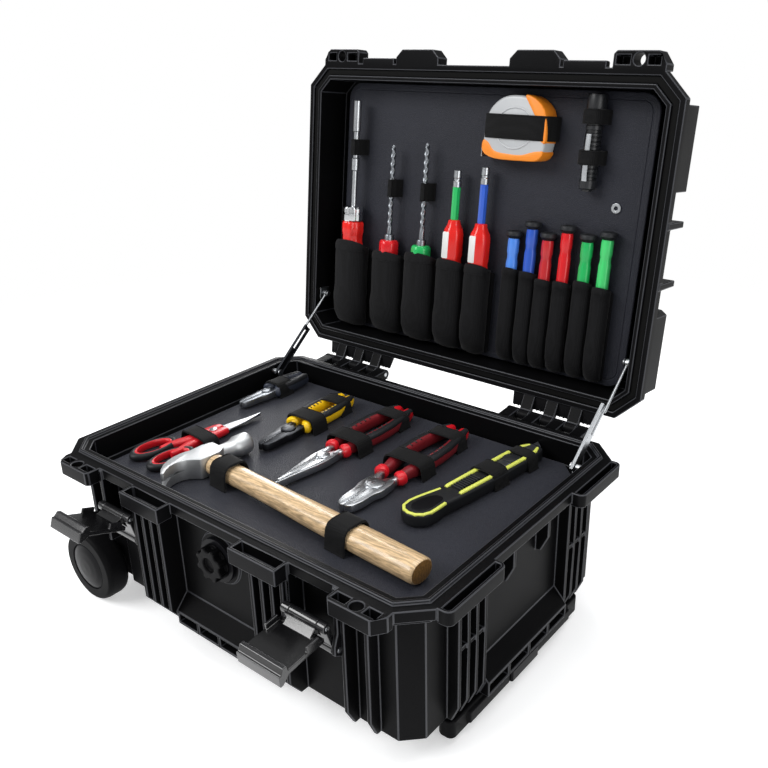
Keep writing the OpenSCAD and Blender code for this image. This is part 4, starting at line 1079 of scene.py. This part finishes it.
class TOOLCASE_OT_add_tape_measure(ToolCaseOperator, bpy.types.Operator):
    """Adds the tape measure"""

    bl_idname = "tool_case.add_tape_measure"
    bl_label = "Add Tape Measure"

    def execute(self, context):
        node = "tool_tape_measure"
        top, bottom = BOARD_Z - 23.6, BOARD_Z - 0.4
        outline = smooth_outline([(16, -80), (15.6, -104), (20, -122), (34, -134), (52, -136.6),
                                  (70, -133), (82, -121), (86.4, -104), (86, -86), (80, -76),
                                  (62, -74.4), (30, -74.6)], 4)
        shell = slab("tape_shell", outline, top, bottom, 3.2, 4)
        ring = [(51 + 22 * math.cos(math.radians(t)), -105 + 20 * math.sin(math.radians(t)),
                 top - 0.1, 1.0, 0.9)
                for t in range(0, 361, 15)]
        rim = sweep("tape_rim", ring, 10)
        dress(place(joined("tape_case", [shell, rim]), LID), "silver lacquer", node, 40)
        pads = []
        corners = (
            [(60, -137), (72, -134), (83, -124), (87, -108), (87, -92), (80, -96), (76, -112),
             (68, -124)],
            [(15, -80), (15, -92), (22, -90), (30, -82), (46, -80), (62, -80), (76, -84), (86, -84),
             (80, -75), (62, -73.6), (30, -73.8)],
        )
        for i, points in enumerate(corners):
            pads.append(slab("tape_pad%d" % i, smooth_outline(points, 3), top - 0.4, bottom + 0.0,
                             1.4, 3))
        dress(place(joined("tape_pads", pads), LID), "orange rubber", node, 45)
        hook = [slab("tape_hook", [(16, -80), (10.5, -80), (10.5, -81.2), (16, -81.2)], bottom - 18,
                     bottom - 3, 0.2, 1),
                slab("tape_lip", [(10.5, -85.5), (10.5, -74.6), (11.4, -74.6), (11.4, -85.5)],
                     bottom - 18, bottom - 3, 0.2, 1)]
        dress(place(joined("tape_hook", hook), LID), "zinc plated steel", node, 30)
        return {"FINISHED"}


class TOOLCASE_OT_add_torch(ToolCaseOperator, bpy.types.Operator):
    """Adds the small torch"""

    bl_idname = "tool_case.add_torch"
    bl_label = "Add Torch"

    def execute(self, context):
        z = BOARD_Z - 9.8
        profile = [(-141, 7.6), (-140.4, 9.0), (-138, 9.5), (-126, 9.5), (-124.5, 9.2), (-122, 7.6),
                   (-112, 7.4), (-111.5, 8.0), (-108, 8.0), (-107.5, 7.4)]
        for i in range(10):
            y = -105 + i * 4.2
            profile += [(y, 7.4), (y + 0.6, 8.0), (y + 3.0, 8.0), (y + 3.6, 7.4)]
        profile += [(-61, 7.6), (-60.5, 8.4), (-53, 8.4), (-52, 7.6), (-51.6, 5), (-50, 4.6)]
        barrel = sweep("torch_barrel", [(131, y, z, r, r) for y, r in profile], 28)
        dress(place(barrel, LID), "black oxide", "tool_torch", 30)
        clip = sweep("torch_clip", [(131, y, z - d, 2.6, 0.5) for y, d in
                                    ((-60, 8.2), (-66, 9.3), (-90, 9.4), (-104, 8.9))], 10, 5)
        dress(place(clip, LID), "zinc plated steel", "tool_torch", 30)
        return {"FINISHED"}


class TOOLCASE_OT_add_drivers(ToolCaseOperator, bpy.types.Operator):
    """Adds the drivers, drill drivers and testers in the pockets"""

    bl_idname = "tool_case.add_drivers"
    bl_label = "Add Drivers"

    def execute(self, context):
        self.socket_driver()
        self.twist_drivers()
        self.testers()
        self.small_drivers()
        return {"FINISHED"}

    def turned(self, name, x, z, profile, sides=24, power=2.0):
        return sweep(name, [(x, y, z, r, r) for y, r in profile], sides, power)

    def fluted(self, name, x, z, profile, flutes=8, depth=0.07):
        """A handle with long flutes, as a body with a wavy section."""
        piece = self.turned(name, x, z, profile, flutes * 6)
        for vertex in piece.data.vertices:
            dx, dz = vertex.co.x - x * MM, vertex.co.z - z * MM
            ripple = 1 - depth * (0.5 + 0.5 * math.cos(flutes * math.atan2(dz, dx)))
            vertex.co.x = x * MM + dx * ripple
            vertex.co.z = z * MM + dz * ripple
        return piece

    def socket_driver(self):
        node, x, z = "tool_socket_driver", -165, SOCKET_LINE_Z
        socket = self.turned("socket_driver_tip", x, z, [
            (-124, 3.4), (-123.4, 4.6), (-90, 4.6), (-89, 3.4), (-60, 3.3), (-59, 4.6), (-46, 4.6),
            (-45, 3.2), (-8, 3.2), (-4.2, 3.4)], 16)
        dress(place(socket, LID), "polished tool steel", node, 30)
        collar = self.fluted("socket_driver_collar", x, z, [
            (-4.5, 3.0), (-4.2, 9.2), (-3.2, 11.4), (-1.5, 12.5), (3, 12.5), (3.6, 11.8), (5, 11.8),
            (5.6, 12.5), (12, 12.5), (13, 12.2), (14, 11.2)], 12, 0.05)
        dress(place(collar, LID), "chromed steel", node, 30)
        handle = self.fluted("socket_driver_handle", x, z, [
            (13.6, 10.8), (14.2, 12.4), (16.5, 13.4), (26, 13.4), (30, 12.4), (36, 12.3), (41, 13.4),
            (70, 13.4), (106, 13.2), (114, 11), (117, 8)], 8)
        dress(place(handle, LID), "red acetate handle", node, 40)

    def twist_drivers(self):
        node, z = "tool_twist_drivers", WIDE_LINE_Z
        steels = []
        for x, tip in ((-110, -79), (-63, -84)):
            rings = []
            for i in range(56):
                y = tip + 1 + i * 1.75
                if y > 13:
                    break
                a, b = (3.2, 2.2)
                if i < 3:
                    a, b = (1.0 + i * 0.8, 0.7 + i * 0.4)
                rings.append((x, y, z, a, b, i * 34))
            rings += [(x, y, z, r, r) for y, r in ((15, 3.2), (22, 3.2), (23, 5.2), (24, 5.6),
                                                   (31, 5.6))]
            steels.append(sweep("drill", rings, 16, 2.0))
        dress(place(joined("twist_drills", steels), LID), "ground tool steel", node, 40)
        for x, colour in ((-110, "red acetate"), (-63, "green acetate")):
            handle = self.fluted("drill_handle_%d" % abs(x), x, z, [
                (29, 5.2), (29.6, 9.4), (31.4, 10.9), (34, 11.4), (44, 11.4), (48, 10.5), (52, 10.6),
                (58, 11.4), (106, 11.2), (114, 9), (117, 6)], 6)
            dress(place(handle, LID), colour, node, 40)

    def testers(self):
        node, z = "tool_testers", WIDE_LINE_Z
        for x, tip, colour in ((-20, -58, "green acetate"), (15, -64, "blue acetate")):
            tag = "green" if x < 0 else "blue"
            cap = self.turned("tester_tip_" + tag, x, z, [
                (tip, 2.4), (tip + 0.8, 4.2), (tip + 8, 4.5), (tip + 9, 3.8), (tip + 11, 3.8),
                (tip + 12, 4.5), (tip + 18, 4.5), (tip + 18.6, 3.8)], 20)
            dress(place(cap, LID), "polished tool steel", node, 30)
            shaft = self.turned("tester_shaft_" + tag, x, z, [
                (tip + 17, 3.6), (tip + 18, 4.4), (-6, 4.4), (-4.6, 4.0)], 8, 2.0)
            dress(place(shaft, LID), colour, node, 30)
            body = self.fluted("tester_body_" + tag, x, z, [
                (-4.8, 4.4), (-4.2, 6.4), (-1, 7.0), (2, 8.0), (6, 10.2), (11, 11.3), (18, 11.4),
                (34, 11.4), (38, 10.6), (44, 11.4), (106, 11.2), (114, 9), (117, 6)], 6)
            dress(place(body, LID), "red acetate handle", node, 40)
            label = slab("tester_label_" + tag, corner_outline(x - 6.4, x + 1.6, 8, 37, 1.5, 3),
                         z - 11.45, z - 9.4, 0.4, 2)
            dress(place(label, LID), "bare white label", node, 30)

    def small_drivers(self):
        node, z = "tool_small_drivers", NARROW_LINE_Z
        colours = ("pale blue acetate", "blue acetate", "dull red acetate", "red acetate",
                   "green acetate", "pale green acetate")
        tops = (-2, -14, -5, -15, -9, -14)
        caps = []
        for i, ((x, *_), top, colour) in enumerate(zip(NARROW_POCKETS, tops, colours)):
            caps.append(self.turned("cap", x, z, [
                (top + 0.8, 2.4), (top, 3.4), (top, 6.0), (top + 0.5, 7.9), (top + 1.2, 8.4),
                (top + 4.6, 8.4), (top + 5.4, 7.6), (top + 7.8, 5.6)], 24))
            grip = self.fluted("small_driver_%d" % (i + 1), x, z, [
                (top + 7.2, 4.6), (top + 8, 5.6), (top + 11, 6.1), (top + 22, 6.1), (top + 25, 5.4),
                (top + 29, 5.4), (top + 33, 6.1), (60, 6.1), (108, 5.8), (116, 4)], 6)
            dress(place(grip, LID), colour, node, 40)
        dress(place(joined("small_driver_caps", caps), LID), "black soft grip", node, 40)


class TOOLCASE_OT_add_stage(ToolCaseOperator, bpy.types.Operator):
    """Adds the pale floor, the soft light and the camera"""

    bl_idname = "tool_case.add_stage"
    bl_label = "Add Stage"

    def execute(self, context):
        scene = context.scene
        clear_selection()
        bpy.ops.mesh.primitive_grid_add(x_subdivisions=8, y_subdivisions=8, size=60)
        floor = context.object
        floor.name = "studio_floor"
        for vertex in floor.data.vertices:
            vertex.co.z = -0.0004
        floor.data.materials.append(backdrop_paint("pale backdrop paper"))
        self.lamp("key_softbox", (-1.3, -1.9, 2.1), 2.0, 1.4, 66)
        self.lamp("side_softbox", (2.2, -0.9, 1.1), 1.2, 1.8, 20)
        self.lamp("top_softbox", (0.2, 0.5, 2.6), 2.2, 2.2, 44)
        self.lamp("rear_strip", (-1.6, 1.6, 1.2), 0.5, 1.8, 22)
        world = bpy.data.worlds.new("studio")
        world.use_nodes = True
        scene.world = world
        tree = world.node_tree
        tree.nodes.clear()
        rays = add_node(tree, "ShaderNodeLightPath")
        soft = add_node(tree, "ShaderNodeBackground", {"Color": srgb("#f4f5f7"), "Strength": 0.36})
        white = add_node(tree, "ShaderNodeBackground", {"Color": srgb("#ffffff"), "Strength": 1.0})
        mixed = add_node(
            tree, "ShaderNodeMixShader", None,
            {0: rays.outputs["Is Camera Ray"], 1: soft.outputs[0], 2: white.outputs[0]},
        )
        add_node(tree, "ShaderNodeOutputWorld", None, {"Surface": mixed.outputs[0]})
        scene.view_settings.view_transform = "Standard"
        self.camera(scene)
        return {"FINISHED"}

    def lamp(self, name, place_, width, height, power):
        data = bpy.data.lights.new(name, "AREA")
        data.shape = "RECTANGLE"
        data.size = width
        data.size_y = height
        data.energy = power
        lamp = bpy.data.objects.new(name, data)
        bpy.context.scene.collection.objects.link(lamp)
        lamp.location = place_
        aim = Vector((0, 0.03, 0.2)) - Vector(place_)
        lamp.rotation_euler = aim.to_track_quat("-Z", "Y").to_euler()

    def camera(self, scene):
        """The photograph's viewpoint, from the case's own corners."""
        yaw, pitch, roll = math.radians(39.85), math.radians(23.23), math.radians(-1.54)
        back = Vector((math.sin(yaw) * math.cos(pitch), -math.cos(yaw) * math.cos(pitch),
                       math.sin(pitch)))
        right = Vector((0, 0, 1)).cross(back).normalized()
        above = back.cross(right)
        x_axis = right * math.cos(roll) + above * math.sin(roll)
        y_axis = above * math.cos(roll) - right * math.sin(roll)
        data = bpy.data.cameras.new("photo_camera")
        data.sensor_fit = "HORIZONTAL"
        data.sensor_width = 36.0
        data.lens = 857.81 / 768 * 36.0
        data.clip_end = 100
        camera = bpy.data.objects.new("photo_camera", data)
        scene.collection.objects.link(camera)
        turn = Matrix((x_axis, y_axis, back)).transposed().to_4x4()
        camera.matrix_world = Matrix.Translation((0.51666, -0.54002, 0.54906)) @ turn
        scene.camera = camera


OPERATORS = (
    TOOLCASE_OT_add_stage,
    TOOLCASE_OT_add_shells,
    TOOLCASE_OT_add_running_gear,
    TOOLCASE_OT_add_latches,
    TOOLCASE_OT_add_hinges_and_stays,
    TOOLCASE_OT_add_valve,
    TOOLCASE_OT_add_boards,
    TOOLCASE_OT_add_pockets,
    TOOLCASE_OT_add_bands,
    TOOLCASE_OT_add_hammer,
    TOOLCASE_OT_add_scissors,
    TOOLCASE_OT_add_pliers,
    TOOLCASE_OT_add_knife,
    TOOLCASE_OT_add_tape_measure,
    TOOLCASE_OT_add_torch,
    TOOLCASE_OT_add_drivers,
)


class TOOLCASE_PT_panel(bpy.types.Panel):
    """Lists the case's pieces, colours and sizes"""

    bl_idname = "TOOLCASE_PT_panel"
    bl_label = "Tool Case"
    bl_space_type = "VIEW_3D"
    bl_region_type = "UI"
    bl_category = "Tool Case"

    def draw(self, context):
        layout = self.layout
        for operator in OPERATORS:
            layout.operator(operator.bl_idname)
        for group in (context.scene.tool_case.colours, context.scene.tool_case.sizes):
            for name in group.__annotations__:
                layout.prop(group, name)


CLASSES = (ToolCaseColours, ToolCaseSizes, ToolCaseSettings, *OPERATORS, TOOLCASE_PT_panel)


def register():
    for cls in CLASSES:
        bpy.utils.register_class(cls)
    bpy.types.Scene.tool_case = PointerProperty(type=ToolCaseSettings)


def unregister():
    del bpy.types.Scene.tool_case
    for cls in reversed(CLASSES):
        bpy.utils.unregister_class(cls)


def main():
    register()
    bpy.ops.tool_case.add_stage()
    bpy.ops.tool_case.add_shells()
    bpy.ops.tool_case.add_running_gear()
    bpy.ops.tool_case.add_latches()
    bpy.ops.tool_case.add_hinges_and_stays()
    bpy.ops.tool_case.add_valve()
    bpy.ops.tool_case.add_boards()
    bpy.ops.tool_case.add_pockets()
    bpy.ops.tool_case.add_bands()
    bpy.ops.tool_case.add_hammer()
    bpy.ops.tool_case.add_scissors()
    bpy.ops.tool_case.add_pliers()
    bpy.ops.tool_case.add_knife()
    bpy.ops.tool_case.add_tape_measure()
    bpy.ops.tool_case.add_torch()
    bpy.ops.tool_case.add_drivers()
    clear_selection()


if __name__ == "__main__":
    main()
